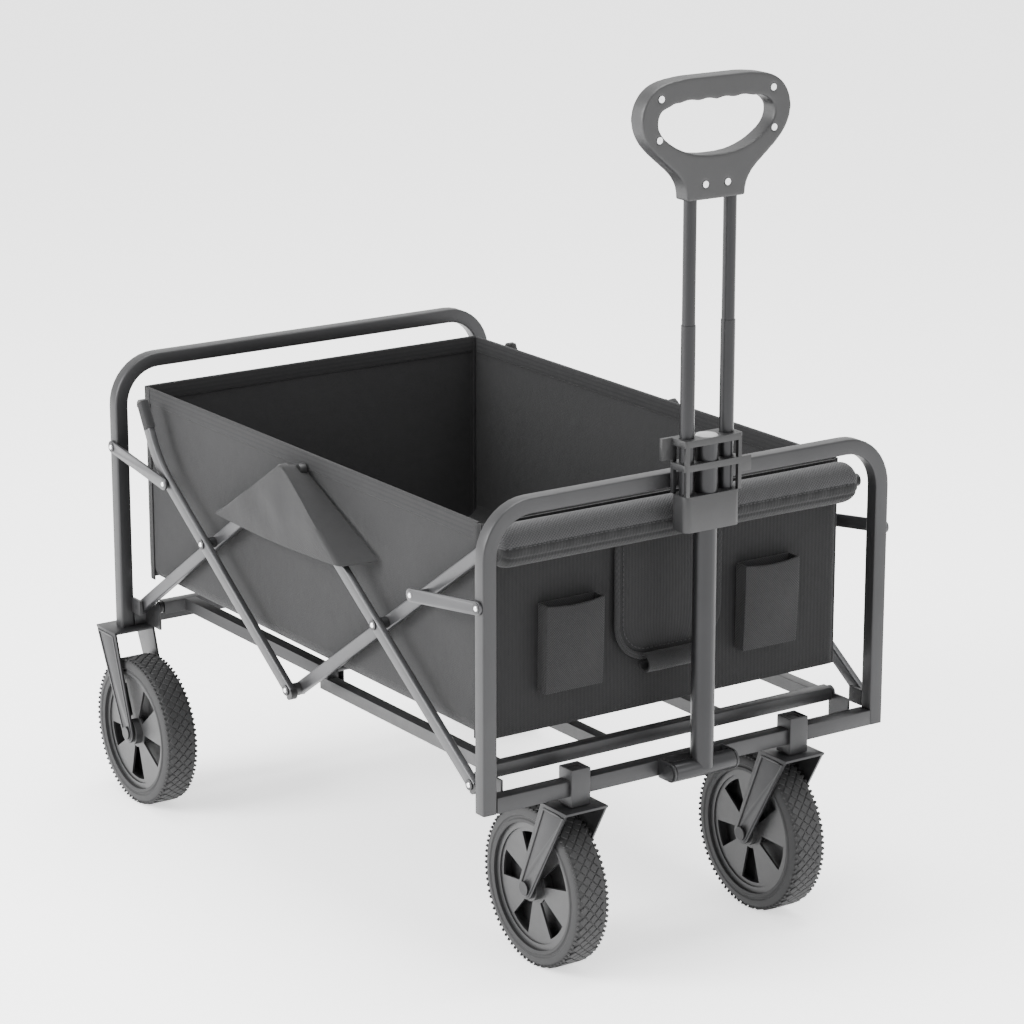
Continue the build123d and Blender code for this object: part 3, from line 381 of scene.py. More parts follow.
def woven(name, base, pitch, rough=0.86, rib=0.0, open_mesh=False, depth=0.0006):
    """Cloth with a plain weave of the given pitch in metres; rib adds wider cords across it. Its colour
    carries painted shade in the low places of the weave and a painted highlight on the thread tops, mixed
    with random tone.
    """
    n = Nodes(name)
    place = n.coords(uv=True)
    split = n.add("ShaderNodeSeparateXYZ", {"Vector": place})
    turns = 2 * pi / pitch
    warp = n.math("SINE", n.math("MULTIPLY", split.outputs["X"], turns))
    weft = n.math("SINE", n.math("MULTIPLY", split.outputs["Y"], turns))
    cross = n.math("MULTIPLY", warp, weft)
    height = n.math("ADD", n.math("MULTIPLY", cross, 0.5), 0.5)
    if open_mesh:
        height = n.math("POWER", height, 0.5)
    soft = n.noise(n.coords(), 5.0, 4.0)
    thread = n.noise(place, 1.0 / pitch / 3, 3.0)
    # painted shade and highlight: the weave's height darkens its low places and lightens its thread tops in
    # the colour, mixed with random thread and cloth tone; an open mesh gets its gaps painted darker still
    weave = 0.6 if open_mesh else 0.34
    shade = n.math("ADD", n.math("MULTIPLY", height, weave), n.math("MULTIPLY", thread, 0.7 - weave))
    shade = n.math("ADD", shade, n.math("MULTIPLY", soft, 0.3))
    # darkest tint of the colour: painted shade in the low places of the weave, deepest in an open mesh's gaps
    dark = 0.3 if open_mesh else 0.62
    colour = n.ramp(shade, [(0.22, tint(base, dark)), (0.5, base), (0.78, tint(base, 1.5))])
    if rib:
        cord = n.math("SINE", n.math("MULTIPLY", split.outputs["X"], 2 * pi / rib))
        height = n.math("ADD", height, n.math("MULTIPLY", cord, 0.3))
    wrinkle = n.bump(n.noise(n.coords(), 26.0, 4.0, 0.55), 0.25, 0.004)
    n.set(Base_Color=colour, Roughness=n.spread(thread, rough - 0.06, rough + 0.08),
          Normal=n.bump(height, 0.6, depth, wrinkle))
    n.shader.inputs["Sheen Weight"].default_value = 0.08
    n.shader.inputs["Sheen Roughness"].default_value = 0.5
    n.shader.inputs["Specular IOR Level"].default_value = 0.25
    return n.material


def thread_finish(name, base):
    """Twisted sewing thread."""
    n = Nodes(name)
    place = n.coords()
    twist = n.noise(place, 1800.0, 2.0)
    n.set(Base_Color=n.ramp(twist, [(0.3, tint(base, 0.7)), (0.7, tint(base, 1.3))]), Roughness=0.8,
          Normal=n.bump(twist, 0.4, 0.0004))
    return n.material


def floor_finish(name):
    """Pale seamless backdrop."""
    n = Nodes(name)
    cloud = n.noise(n.coords(), 0.6, 2.0)
    n.set(Base_Color=n.ramp(cloud, [(0.0, (0.95, 0.95, 0.95)), (1.0, (0.97, 0.97, 0.97))]), Roughness=0.9)
    n.shader.inputs["Emission Color"].default_value = (1.0, 1.0, 1.0, 1.0)
    n.shader.inputs["Emission Strength"].default_value = 1.1
    return n.material


FRAME_PAINT = powder_coat("graphite_frame_paint", (0.027, 0.027, 0.028))
BAR_PAINT = powder_coat("scissor_bar_paint", (0.046, 0.046, 0.048), 0.36)
FORK_PAINT = powder_coat("fork_paint", (0.020, 0.020, 0.021), 0.40)
POLE_PAINT = powder_coat("pole_paint", (0.015, 0.015, 0.016), 0.32)
DARK_PLASTIC = moulded_plastic("black_moulding", (0.006, 0.006, 0.0065))
GRIP_PLASTIC = moulded_plastic("grip_moulding", (0.008, 0.008, 0.0085), 0.5)
RIM_PLASTIC = moulded_plastic("rim_moulding", (0.017, 0.017, 0.0175), 0.40)
RUBBER = tyre_rubber("tyre_rubber", (0.010, 0.010, 0.0105))
STEEL = bright_steel("zinc_plate")
SIDE_CLOTH = woven("tub_cloth", (0.0095, 0.0095, 0.0100), 0.0022, rib=0.0)
FRONT_CLOTH = woven("front_wall_cloth", (0.0066, 0.0066, 0.0070), 0.0022, rib=0.0045)
POCKET_CLOTH = woven("pocket_mesh", (0.0090, 0.0090, 0.0095), 0.0034, depth=0.0012)
ROLL_CLOTH = woven("cover_mesh", (0.026, 0.026, 0.027), 0.0042, depth=0.0016, open_mesh=True)
BINDING = woven("binding_tape", (0.007, 0.007, 0.0075), 0.0016, rib=0.0)
TENT_CLOTH = woven("tent_cloth", (0.0115, 0.0115, 0.0120), 0.0024)
THREAD = thread_finish("sewing_thread", (0.017, 0.017, 0.018))


# ---- camera, light and floor ----------------------------------------------------------
VIEW_TURN = radians(55.727)
VIEW_RISE = radians(15.769)
VIEW_DISTANCE = 4.558
VIEW_TARGET = Vector((0.0183, 0.0332, 0.4443))
VIEW_LENS = 125.74


def add_camera():
    """Camera a little above the wagon, off its front right corner."""
    away = Vector((sin(VIEW_TURN) * cos(VIEW_RISE), -cos(VIEW_TURN) * cos(VIEW_RISE), sin(VIEW_RISE)))
    bpy.ops.object.camera_add(location=VIEW_TARGET + away * VIEW_DISTANCE)
    camera = bpy.context.object
    camera.rotation_euler = (-away).to_track_quat("-Z", "Y").to_euler()
    camera.data.lens = VIEW_LENS
    camera.data.sensor_width = 36
    camera.data.clip_end = 50
    bpy.context.scene.camera = camera


def add_light(name, place, size, power, target=(0, 0, 0.35)):
    """Soft area light aimed at the wagon."""
    bpy.ops.object.light_add(type="AREA", location=place)
    lamp = bpy.context.object
    lamp.name = name
    lamp.data.size = size
    lamp.data.energy = power
    lamp.rotation_euler = (Vector(target) - Vector(place)).to_track_quat("-Z", "Y").to_euler()


def add_stage():
    """Pale floor, soft light from above and from the right side."""
    add_camera()
    add_light("side_light", (-0.9, -3.4, 1.9), 2.0, 300)
    add_light("top_light", (0.0, 0.4, 3.6), 2.4, 170)
    add_light("front_light", (3.6, 0.8, 1.6), 1.6, 40)
    world = bpy.data.worlds.new("studio")
    bpy.context.scene.world = world
    world.use_nodes = True
    world.node_tree.nodes["Background"].inputs[0].default_value = (1, 1, 1, 1)
    world.node_tree.nodes["Background"].inputs[1].default_value = 1.7
    deselect()
    bpy.ops.mesh.primitive_plane_add(size=30)
    floor = bpy.context.object
    floor.name = "studio_floor"
    floor.data.materials.append(floor_finish("studio_floor"))
    settle(floor)


# ---- frame ---------------------------------------------------------------------------------
HOOP_BEND = 0.066           # outer radius of a hoop's corners
EDGE_ROUND = 0.0026         # rolled edge of the square tube


def hoop_path(x, low, high):
    """Centre line of a hoop: up one post, across the rail, down the other."""
    half = high.y - TUBE / 2
    top = high.z - TUBE / 2
    bend = HOOP_BEND - TUBE / 2

    def plane(y, z):
        return Vector((x, y, z))

    path = [plane(-half, low.z + (top - bend - low.z) * k / 4) for k in range(4)]
    path += arc((-half + bend, top - bend), bend, 180, 90, 10, plane)
    path += arc((half - bend, top - bend), bend, 90, 0, 10, plane)
    path += [plane(half, top - bend - (top - bend - low.z) * k / 4) for k in range(1, 5)]
    return path


def make_hoops():
    """Square tube hoops with rolled edges."""
    section = rounded(TUBE / 2, TUBE / 2, EDGE_ROUND)
    for end, body in (("front", "front_frame"), ("rear", "rear_frame")):
        low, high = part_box(f"{end}_hoop")
        hoop = sweep(f"{end}_hoop_tube", hoop_path((low.x + high.x) / 2, low, high), section, (1, 0, 0))
        finish_piece(hoop, FRAME_PAINT, body, "graphite_paint", [f"{end}_hoop"])


BAR_HALF = 0.008            # half width of a bar
BAR_THICK = 0.009
BAR_EDGE = 0.0020
TIP_START = -JOINT["rear_frame_pivot"].x - 0.090
TIP_REACH = Vector((-0.040, 0.072))
TIP_BEND = 0.035            # bend of the tip, to each side of its corner
BAR_OVER = 0.006            # bar past a pivot
FOOT_OVER = 0.0045          # bar past the front end pivot
CORNER_SHORT = 0.004        # bar short of the tub's corner


def bar_pair(half, points, outside):
    """Pair of flat bars with rounded edges along points in X and Z, their outer face at outside."""
    y = -(outside - BAR_THICK / 2)
    section = rounded(BAR_THICK / 2, BAR_HALF, BAR_EDGE, 3)
    path = [Vector((x, y, z)) for x, z in points]
    near = sweep(f"{half}_bar_pair", path, section, (0, 1, 0))
    bars = joined(f"{half}_bar_pair", [near, mirrored(near, f"{half}_bar_pair_far")])
    finish_piece(bars, BAR_PAINT, f"{half}_scissor", "bar_paint", [f"{half}_bars"])


def stretched(a, b, before, after):
    """Two ends of a bar that runs past its pivots, as (x, z) points."""
    a, b = Vector(a), Vector(b)
    along = (b - a).normalized()
    start, stop = a - along * before, b + along * after
    return [tuple(start.lerp(stop, k / 6)) for k in range(7)]


def make_bars():
    """Scissor bars, the rear outer one with its upturned tip."""
    low_front = (JOINT["fold"].x, JOINT["fold"].z)
    low_rear = (JOINT["rear_frame_pivot"].x, JOINT["rear_frame_pivot"].z)
    middle = (0.0, JOINT["fold"].z)
    top = (JOINT["top_pivot"].x, JOINT["top_pivot"].z)
    corner = (JOINT["fold"].x, JOINT["top_pivot"].z)
    outer, inner = BAR_OUT_HIGH.y, BAR_IN_HIGH.y
    bar_pair("front_outer", stretched(low_front, top, FOOT_OVER, BAR_OVER), outer)
    bar_pair("front_inner", stretched(middle, corner, BAR_OVER, -CORNER_SHORT), inner)
    bar_pair("rear_inner", stretched(low_rear, top, BAR_OVER, BAR_OVER), inner)
    cross = Vector((JOINT["rear_cross_pivot"].x, JOINT["rear_cross_pivot"].z))
    along = (cross - Vector(middle)).normalized()
    bend = Vector(middle) + along * (TIP_START / abs(along.x))
    tip = bend + TIP_REACH
    tip_way = (tip - bend).normalized()
    start = Vector(middle) - along * BAR_OVER
    knee_in, knee_out = bend - along * TIP_BEND, bend + tip_way * TIP_BEND
    path = [start.lerp(knee_in, k / 5) for k in range(5)]
    for k in range(9):
        t = k / 8
        path.append(knee_in * (1 - t) ** 2 + bend * 2 * t * (1 - t) + knee_out * t ** 2)
    path.append(tip)
    bar_pair("rear_outer", [tuple(p) for p in path], outer)


def make_hardware():
    """Frame parts that keep their designed shape, with worked edges."""
    rounded_parts = [
        ("front_cross_tube", 0.0016, FRAME_PAINT, "front_frame", "graphite_paint"),
        ("rear_cross_tube", 0.0016, FRAME_PAINT, "rear_frame", "graphite_paint"),
        ("caster_sockets", 0.0010, FRAME_PAINT, "front_frame", "graphite_paint"),
        ("front_platform", 0.0014, FRAME_PAINT, "front_deck", "graphite_paint"),
        ("rear_platform", 0.0014, FRAME_PAINT, "rear_deck", "graphite_paint"),
        ("platform_rod", 0.0010, FRAME_PAINT, "front_deck", "graphite_paint"),
        ("handle_bracket", 0.0008, FORK_PAINT, "front_frame", "graphite_paint"),
        ("front_links", 0.0008, BAR_PAINT, "front_stabilisers", "bar_paint"),
        ("rear_links", 0.0008, BAR_PAINT, "rear_stabilisers", "bar_paint"),
        ("caster_left_fork", 0.0010, FORK_PAINT, "caster_left", "fork_paint"),
        ("caster_right_fork", 0.0010, FORK_PAINT, "caster_right", "fork_paint"),
        ("rear_forks", 0.0010, FORK_PAINT, "rear_frame", "fork_paint"),
        ("pole_collar", 0.0018, DARK_PLASTIC, "pole", "black_plastic"),
        ("pole_cage", 0.0012, DARK_PLASTIC, "pole", "black_plastic"),
        ("pole_hub", 0.0012, POLE_PAINT, "pole", "graphite_paint"),
    ]
    for node, width, material, body, slot in rounded_parts:
        finish_piece(softened(node, width), material, body, slot)
    kept = {
        POLE_PAINT: ["pole_tube", "lower_rods", "upper_rods"],
        FRAME_PAINT: ["front_pivot_brackets", "rear_pivot_brackets"],
        STEEL: ["grip_screws"],
        FORK_PAINT: [
            "front_pivot_pins", "rear_pivot_pins", "front_outer_pins", "front_inner_pins", "rear_inner_pins",
            "handle_pin", "rear_axles", "caster_left_axle", "caster_right_axle",
        ],
        DARK_PLASTIC: [
            "front_outer_caps", "front_inner_caps", "rear_inner_caps", "rear_outer_caps", "swivel_bushes",
        ],
        RIM_PLASTIC: ["front_left_rim", "front_right_rim", "rear_left_rim", "rear_right_rim"],
    }
    for material, nodes in kept.items():
        for node in nodes:
            part = frame["nodes"][node]
            part.data.materials.clear()
            part.data.materials.append(material)


GRIP_GRAIN = 0.0015         # size of the cells that the grip is remade in
GRIP_SMOOTHING = 26


def make_grip():
    """Grip with soft rounded edges, from the two shells together."""
    halves = []
    for node in ("grip_front_shell", "grip_rear_shell"):
        only(frame["nodes"][node])
        bpy.ops.object.duplicate(linked=False)
        halves.append(bpy.context.object)
    grip = joined("pull_grip", halves)
    outward(grip)
    modify(grip, "REMESH", mode="VOXEL", voxel_size=GRIP_GRAIN)
    modify(grip, "SMOOTH", factor=0.5, iterations=GRIP_SMOOTHING)
    smooth(grip, 80)
    finish_piece(grip, GRIP_PLASTIC, "upper_handle", "black_plastic", ["grip_front_shell", "grip_rear_shell"])


RIVET_R = 0.0034
RIVET_RISE = 0.5            # height of a dome over its radius
LINK_RIVET_INSET = 0.008    # rivet inside the end of a link


def rivets(name, body, places):
    """Bright domed rivet ends on both sides of the wagon, at (x, y, z)."""
    domes = []
    for x, y, z in places:
        for way in (-1, 1):
            deselect()
            bpy.ops.mesh.primitive_uv_sphere_add(
                segments=16, ring_count=8, radius=RIVET_R, location=(x, way * y, z), scale=(1, RIVET_RISE, 1),
            )
            domes.append(settle(bpy.context.object))
    piece = joined(name, domes)
    smooth(piece, 60)
    finish_piece(piece, STEEL, body, "bright_steel")


def make_rivets():
    """Rivet ends of the pivots and links."""
    pin_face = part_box("front_outer_pins")[1].y
    link_low, link_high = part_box("front_links")
    post_x = JOINT["front_link_pivot"].x
    post_z = JOINT["front_link_pivot"].z
    bar_end = (link_low.x + LINK_RIVET_INSET, link_high.y, link_low.z + LINK_RIVET_INSET)
    cross, foot = JOINT["front_cross_pivot"], JOINT["fold"]
    rivets("front_cross_rivets", "front_outer_scissor", [(cross.x, pin_face, cross.z)])
    rivets("rear_cross_rivets", "rear_inner_scissor", [(-cross.x, pin_face, cross.z)])
    rivets("middle_rivets", "front_inner_scissor", [(0, pin_face, foot.z)])
    post_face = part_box("front_pivot_pins")[1].y
    rivets("front_post_rivets", "front_frame", [(foot.x, pin_face, foot.z), (post_x, post_face, post_z)])
    rivets("rear_post_rivets", "rear_frame", [(-post_x, post_face, post_z)])
    rivets("front_link_rivets", "front_stabilisers", [bar_end])
    rivets("rear_link_rivets", "rear_stabilisers", [(-bar_end[0], bar_end[1], bar_end[2])])


RIB_INSET = 0.0060          # rib inside the edge of the arm
RIB_EYE = 0.0095            # rib round the axle
RIB_RISE = 0.0011           # rib out of the arm's face
RIB_HALF = 0.0016           # half width of a rib
RIB_ROUND = 0.0009
CASTER_PLATE_DROP = 0.0008  # top of a caster fork under its swivel
ARM_HALF = 0.026            # half width of an arm at its top
ARM_FACE = 0.030            # outer face of an arm from the wheel's middle


def rib_path(plate, axle, crown, face_y):
    """Run of a pressed rib just inside the edge of a fork arm."""
    half = ARM_HALF - RIB_INSET
    top = crown - RIB_INSET
    eye = Vector((axle.x, face_y, axle.z))
    corner_a, corner_b = Vector((plate - half, face_y, top)), Vector((plate + half, face_y, top))
    up = ((corner_a + corner_b) / 2 - eye).normalized()
    way = Vector((up.z, 0, -up.x))
    if (corner_b - eye).dot(way) < 0:
        way = -way
    turns = [pi * k / 12 for k in range(13)]
    head = [corner_a.lerp(corner_b, k / 4) for k in range(5)]
    bend = [eye + way * RIB_EYE * cos(t) - up * RIB_EYE * sin(t) for t in turns]
    return head + bend + [bend[-1].lerp(corner_a, k / 6) for k in range(1, 7)]


def make_fork_ribs():
    """Pressed ribs on the outer faces of the fork arms."""
    section = rounded(RIB_RISE, RIB_HALF, RIB_ROUND, 2)
    swivel = JOINT["caster_left_swivel"]
    caster_top = swivel.z - CASTER_PLATE_DROP
    jobs = [
        ("caster_left", swivel.x, "front_left", caster_top),
        ("caster_right", swivel.x, "front_right", caster_top),
        ("rear_frame", -swivel.x, "rear_left", HOOP_LOW.z),
        ("rear_frame", -swivel.x, "rear_right", HOOP_LOW.z),
    ]
    for body, plate, wheel, crown in jobs:
        axle = JOINT[f"{wheel}_wheel_spin"]
        paths = [rib_path(plate, axle, crown, axle.y + way * ARM_FACE) for way in (-1, 1)]
        ribs = joined(f"{wheel}_fork_ribs", [sweep("rib", path, section, (0, 1, 0)) for path in paths])
        finish_piece(ribs, FORK_PAINT, body, "fork_paint")


SLEEVE_LONG = 0.036
SLEEVE_END = (0.008, 0.004)     # end of a sleeve, in from the rear top edge of the bar ends' box
SLEEVE_HALF = (0.0062, 0.0095)  # half depth and half width
SLEEVE_ROUND = 0.0055


def make_corner_sleeves():
    """Sewn sleeves that hold the tub's rear corners on the upturned bar tips."""
    low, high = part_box("rear_outer_caps")
    y = -(BAR_OUT_HIGH.y - BAR_THICK / 2)
    along = TIP_REACH.normalized()
    end = Vector((low.x + SLEEVE_END[0], 0, high.z - SLEEVE_END[1]))
    steps = [SLEEVE_LONG * k / 8 for k in range(9)]
    path = [Vector((end.x - along.x * t, y, end.z - along.y * t)) for t in steps]
    near = sweep("corner_sleeve_right", path, rounded(*SLEEVE_HALF, SLEEVE_ROUND), (0, 1, 0))
    far = mirrored(near, "corner_sleeve_left")
    for sleeve in (near, far):
        finish_piece(sleeve, BINDING, "rear_outer_scissor", "black_plastic")


# ---- tyres ----------------------------------------------------------------------------------
LUGS_ROUND = 46
LUG_PITCH = 2 * pi * 0.1 / LUGS_ROUND
LUG_ROWS = [k * LUG_PITCH / 2 for k in range(-2, 3)]
LUG_HALF = (LUG_PITCH / 2 - 0.0009) / math.sqrt(2)
LUG_RISE = 0.0010
NIBS_ROUND = 84


def tyre_section(radius, bore, half):
    """Outline of the tyre wall: bead, side groove, shoulder and crown, as (across, radius)."""
    crown = radius - LUG_RISE
    right = [
        (half - 0.001, bore), (half, bore + 0.003), (half, crown - 0.017), (half - 0.0014, crown - 0.0155),
        (half - 0.0014, crown - 0.0135), (half, crown - 0.012), (half - 0.0008, crown - 0.006),
        (half - 0.0035, crown - 0.002), (half - 0.008, crown - 0.0004),
    ]
    left = [(-a, r) for a, r in reversed(right)]
    return right + [(0.0, crown)] + left


def make_tyre(name, node, body):
    """Rubber tyre with a lattice of diamond lugs and fine shoulder nibs."""
    low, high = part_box(node)
    centre = (low + high) / 2
    radius = (high.z - low.z) / 2
    half = (high.y - low.y) / 2
    bore = radius - 0.0219
    outline = tyre_section(radius, bore, half)
    loop = outline + outline[:1]
    around = 120

    def place(u, v):
        turn = 2 * pi * u
        a, r = loop[int(round(v * (len(loop) - 1)))]
        return Vector((centre.x + r * cos(turn), centre.y + a, centre.z + r * sin(turn)))

    wall = outward(grid(name, around, len(loop) - 1, place, (2 * pi * radius, 0.15)))
    parts = [wall]
    deselect()
    lug_size = (LUG_HALF * 2, LUG_HALF * 2, LUG_RISE * 2)
    bpy.ops.mesh.primitive_cube_add(size=1, location=(0, 0, 0), scale=lug_size)
    lug = settle(bpy.context.object)
    lug.data.transform(Matrix.Rotation(pi / 4, 4, "Z"))
    modify(lug, "BEVEL", width=0.0006, segments=1, limit_method="ANGLE", angle_limit=radians(30))
    places = []
    for row, across in enumerate(LUG_ROWS):
        for k in range(LUGS_ROUND):
            turn = 2 * pi * (k + 0.5 * (row % 2)) / LUGS_ROUND
            places.append((turn, across, radius - LUG_RISE * 1.02, 1.0))
    for side in (-1, 1):
        for k in range(NIBS_ROUND):
            places.append((2 * pi * k / NIBS_ROUND, side * (half - 0.0026), radius - LUG_RISE * 2.6, 0.40))
    turns = []
    for turn, across, reach, share in places:
        spot = Matrix.Translation(centre + Vector((0, across, 0))) @ Matrix.Rotation(pi / 2 - turn, 4, "Y")
        turns.append(spot @ Matrix.Translation((0, 0, reach)) @ Matrix.Diagonal((share, share, 1, 1)))
    parts.append(outward(stamped(name + "_tread", lug, turns)))
    piece = joined(name, parts)
    smooth(piece, 38)
    finish_piece(piece, RUBBER, body, "tyre_rubber", [node])


CORE_HALF = 0.0010          # half thickness of the inner web
CORE_HUB = 0.016            # its inner radius, inside the hub
CORE_RIM_INSET = 0.005      # its outer edge, inside the rim's ring


def make_wheel_shade_core(name, node, body):
    """Inner web behind the windows of a rim, in black plastic darker than the rim: painted shade in the
    windows.
    """
    low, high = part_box(node)
    centre = (low + high) / 2
    reach = (high.z - low.z) / 2 - CORE_RIM_INSET
    loop = [(-CORE_HALF, CORE_HUB), (CORE_HALF, CORE_HUB), (CORE_HALF, reach), (-CORE_HALF, reach)]
    loop.append(loop[0])

    def place(u, v):
        turn = 2 * pi * u
        a, radius = loop[int(round(v * 4))]
        return Vector((centre.x + radius * cos(turn), centre.y + a, centre.z + radius * sin(turn)))

    core = outward(grid(name, 72, 4, place, (0.6, 0.15)))
    smooth(core, 40)
    # black plastic darker than the rim's: painted shade behind the rim's windows
    finish_piece(core, DARK_PLASTIC, body, "black_plastic")


# ---- tub --------------------------------------------------------------------------------------
CLOTH = 0.0018              # thickness of the cloth
FLOOR_BEND = 0.018          # bend from a side wall to the floor
SLING_COLUMNS = 90
WALL_BELLY = 0.004          # side wall curves in by this
WALL_FOLDS = 0.0035         # soft folds on top of that
FLOOR_SEAMS = (-0.2, 0.0, 0.2)
FLOOR_QUILT = 0.0016        # floor stands up between its seams
FLOOR_RIPPLE = 0.0012


def sling_path():
    """Half outline of the sling: down a wall, round the bend and to the middle, as (y, z) points."""
    side, top, low = TUB_SIDE - 0.0012, TUB_TOP, TUB_FLOOR + 0.001
    points = [(side, top + (low + FLOOR_BEND - top) * k / 16) for k in range(16)]
    for k in range(7):
        turn = pi / 2 * k / 6
        points.append((side - FLOOR_BEND + FLOOR_BEND * cos(turn), low + FLOOR_BEND - FLOOR_BEND * sin(turn)))
    points += [((side - FLOOR_BEND) * (1 - k / 10), low) for k in range(1, 11)]
    return points


def make_sling():
    """Side walls and floor of the tub: one length of cloth hung over the frame."""
    half_path = sling_path()
    path = [(-y, z) for y, z in half_path] + [(y, z) for y, z in reversed(half_path[:-1])]
    back, front = TUB_REAR + 0.004, TUB_END - 0.004

    def place(u, v):
        i = v * (len(path) - 1)
        y, z = path[int(round(i))]
        x = back + (front - back) * u
        if abs(y) > TUB_SIDE - 0.005:
            height = (z - TUB_FLOOR) / (TUB_TOP - TUB_FLOOR)
            belly = math.sin(pi * min(max(height, 0), 1)) * math.sin(pi * u)
            folds = noise.noise(Vector((x * 5.0, z * 3.0 + x * 2.2, 4.0 if y > 0 else 9.0)))
            y -= math.copysign(belly * (WALL_BELLY + WALL_FOLDS * (folds + 0.5)), y)
        elif abs(y) < TUB_SIDE - 0.03:
            seam = min(abs(x - s) for s in FLOOR_SEAMS)
            ripple = FLOOR_RIPPLE * noise.noise(Vector((x * 8, y * 8, 1.0)))
            z += FLOOR_QUILT * (1 - math.exp(-(seam / 0.006) ** 2)) + ripple
        return Vector((x, y, z))

    length = sum(math.dist(a, b) for a, b in zip(path, path[1:]))
    sling = grid("tub_sling", SLING_COLUMNS, len(path) - 1, place, (front - back, length))
    thick(sling, CLOTH)
    smooth(sling, 60)
    finish_piece(sling, SIDE_CLOTH, "front_frame", "woven_cloth", ["side_panels", "floor_panel"])
    return sling


WALL_BEND = 0.010


def make_end_wall(end):
    """End wall of the tub, turned round its upright corners."""
    sign = 1 if end == "front" else -1
    half = TUB_SIDE + 0.0004
    face = (TUB_END if end == "front" else -TUB_REAR) - CLOTH / 2 - 0.0004
    body = f"{end}_frame"
    turn_steps = 5
    outline = [(half, face - WALL_BEND - 0.006)]
    for k in range(turn_steps + 1):
        turn = pi / 2 * k / turn_steps
        outline.append((half - WALL_BEND + WALL_BEND * cos(turn), face - WALL_BEND + WALL_BEND * sin(turn)))
    flat = half - WALL_BEND
    outline += [(flat * (1 - k / 20), face) for k in range(1, 21)]
    path = [(-y, x) for y, x in outline] + [(y, x) for y, x in reversed(outline[:-1])]

    def place(u, v):
        y, x = path[int(round(u * (len(path) - 1)))]
        z = TUB_FLOOR + (TUB_TOP - TUB_FLOOR) * v
        if abs(y) < flat:
            soft = math.sin(pi * v) * math.cos(pi / 2 * y / flat)
            ripple = noise.noise(Vector((y * 7, z * 5, 2.0 + sign)))
            x -= soft * (0.0015 + 0.0022 * (ripple + 0.5))
        return Vector((sign * x, y, z))

    width = sum(math.dist(a, b) for a, b in zip(path, path[1:]))
    wall = grid(f"tub_{end}_wall", len(path) - 1, 26, place, (width, TUB_TOP - TUB_FLOOR))
    thick(wall, CLOTH)
    outward(wall)
    smooth(wall, 60)
    finish_piece(wall, FRONT_CLOTH if end == "front" else SIDE_CLOTH, body, "woven_cloth", [f"{end}_panel"])
    return wall


HEM_TALL = 0.022
HEM_THICK = 0.0046
HEM_RISE = 0.0015           # hem above the edge of the cloth
HEM_OUTLINE = rounded(HEM_THICK / 2, HEM_TALL / 2, HEM_THICK / 2 - 0.0002, 4)


def make_hems():
    """Folded hem along the top of the walls."""
    z = TUB_TOP - HEM_TALL / 2 + HEM_RISE
    back, front = TUB_REAR + 0.010, TUB_END - 0.010
    steps = 40
    side = TUB_SIDE - 0.0016
    path = [Vector((back + (front - back) * k / steps, -side, z)) for k in range(steps + 1)]
    near = sweep("side_hem_right", path, HEM_OUTLINE, (0, 1, 0))
    far = mirrored(near, "side_hem_left")
    for hem in (near, far):
        finish_piece(hem, BINDING, "front_frame", "woven_cloth")
        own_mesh(hem)
    path = [Vector((TUB_REAR + 0.0015, -side + 2 * side * k / steps, z)) for k in range(steps + 1)]
    rear = sweep("rear_hem", path, HEM_OUTLINE, (1, 0, 0))
    finish_piece(rear, BINDING, "rear_frame", "woven_cloth")


PIPING_R = 0.0022
PIPING_INSET = 0.0035       # piping inside the corner of the tub


def make_corner_piping():
    """Piping up the four corners of the tub."""
    for end, sign in (("front", 1), ("rear", -1)):
        for hand, way in (("left", 1), ("right", -1)):
            x = TUB_END - PIPING_INSET if sign > 0 else TUB_REAR + PIPING_INSET
            y = way * (TUB_SIDE - PIPING_INSET)
            path = [Vector((x, y, TUB_FLOOR + (TUB_TOP - TUB_FLOOR) * k / 10)) for k in range(11)]
            cord = sweep(f"{end}_{hand}_corner_piping", path, ring_outline(PIPING_R, 10), (1, 0, 0))
            finish_piece(cord, BINDING, f"{end}_frame", "woven_cloth")


def stamped(name, stamp, places):
    """One piece from copies of a small shape, each copy with its own mesh."""
    copies = []
    for place in places:
        mesh = stamp.data.copy()
        mesh.transform(place)
        copy = bpy.data.objects.new(name, mesh)
        bpy.context.collection.objects.link(copy)
        copies.append(copy)
    bpy.data.objects.remove(stamp)
    return joined(name, copies)


def stitches(name, runs, body, material, pitch=0.0062, long=0.0040, fat=0.0011):
    """Rows of thread stitches along straight or curved runs of points."""
    deselect()
    bpy.ops.mesh.primitive_cylinder_add(vertices=6, radius=fat / 2, depth=long, location=(0, 0, 0))
    stitch = settle(bpy.context.object)
    modify(stitch, "BEVEL", width=fat * 0.3, segments=1, limit_method="ANGLE", angle_limit=radians(70))
    places = []
    for run in runs:
        lengths = [0.0]
        for a, b in zip(run, run[1:]):
            lengths.append(lengths[-1] + (Vector(b) - Vector(a)).length)
        for k in range(int(lengths[-1] / pitch)):
            at = (k + 0.5) * pitch
            i = max(j for j, value in enumerate(lengths[:-1]) if value <= at)
            share = (at - lengths[i]) / (lengths[i + 1] - lengths[i])
            along = (Vector(run[i + 1]) - Vector(run[i])).normalized()
            turn = along.to_track_quat("Z", "Y").to_matrix().to_4x4()
            places.append(Matrix.Translation(Vector(run[i]).lerp(Vector(run[i + 1]), share)) @ turn)
    piece = stamped(name, stitch, places)
    outward(piece)
    smooth(piece, 80)
    return finish_piece(piece, material, body)


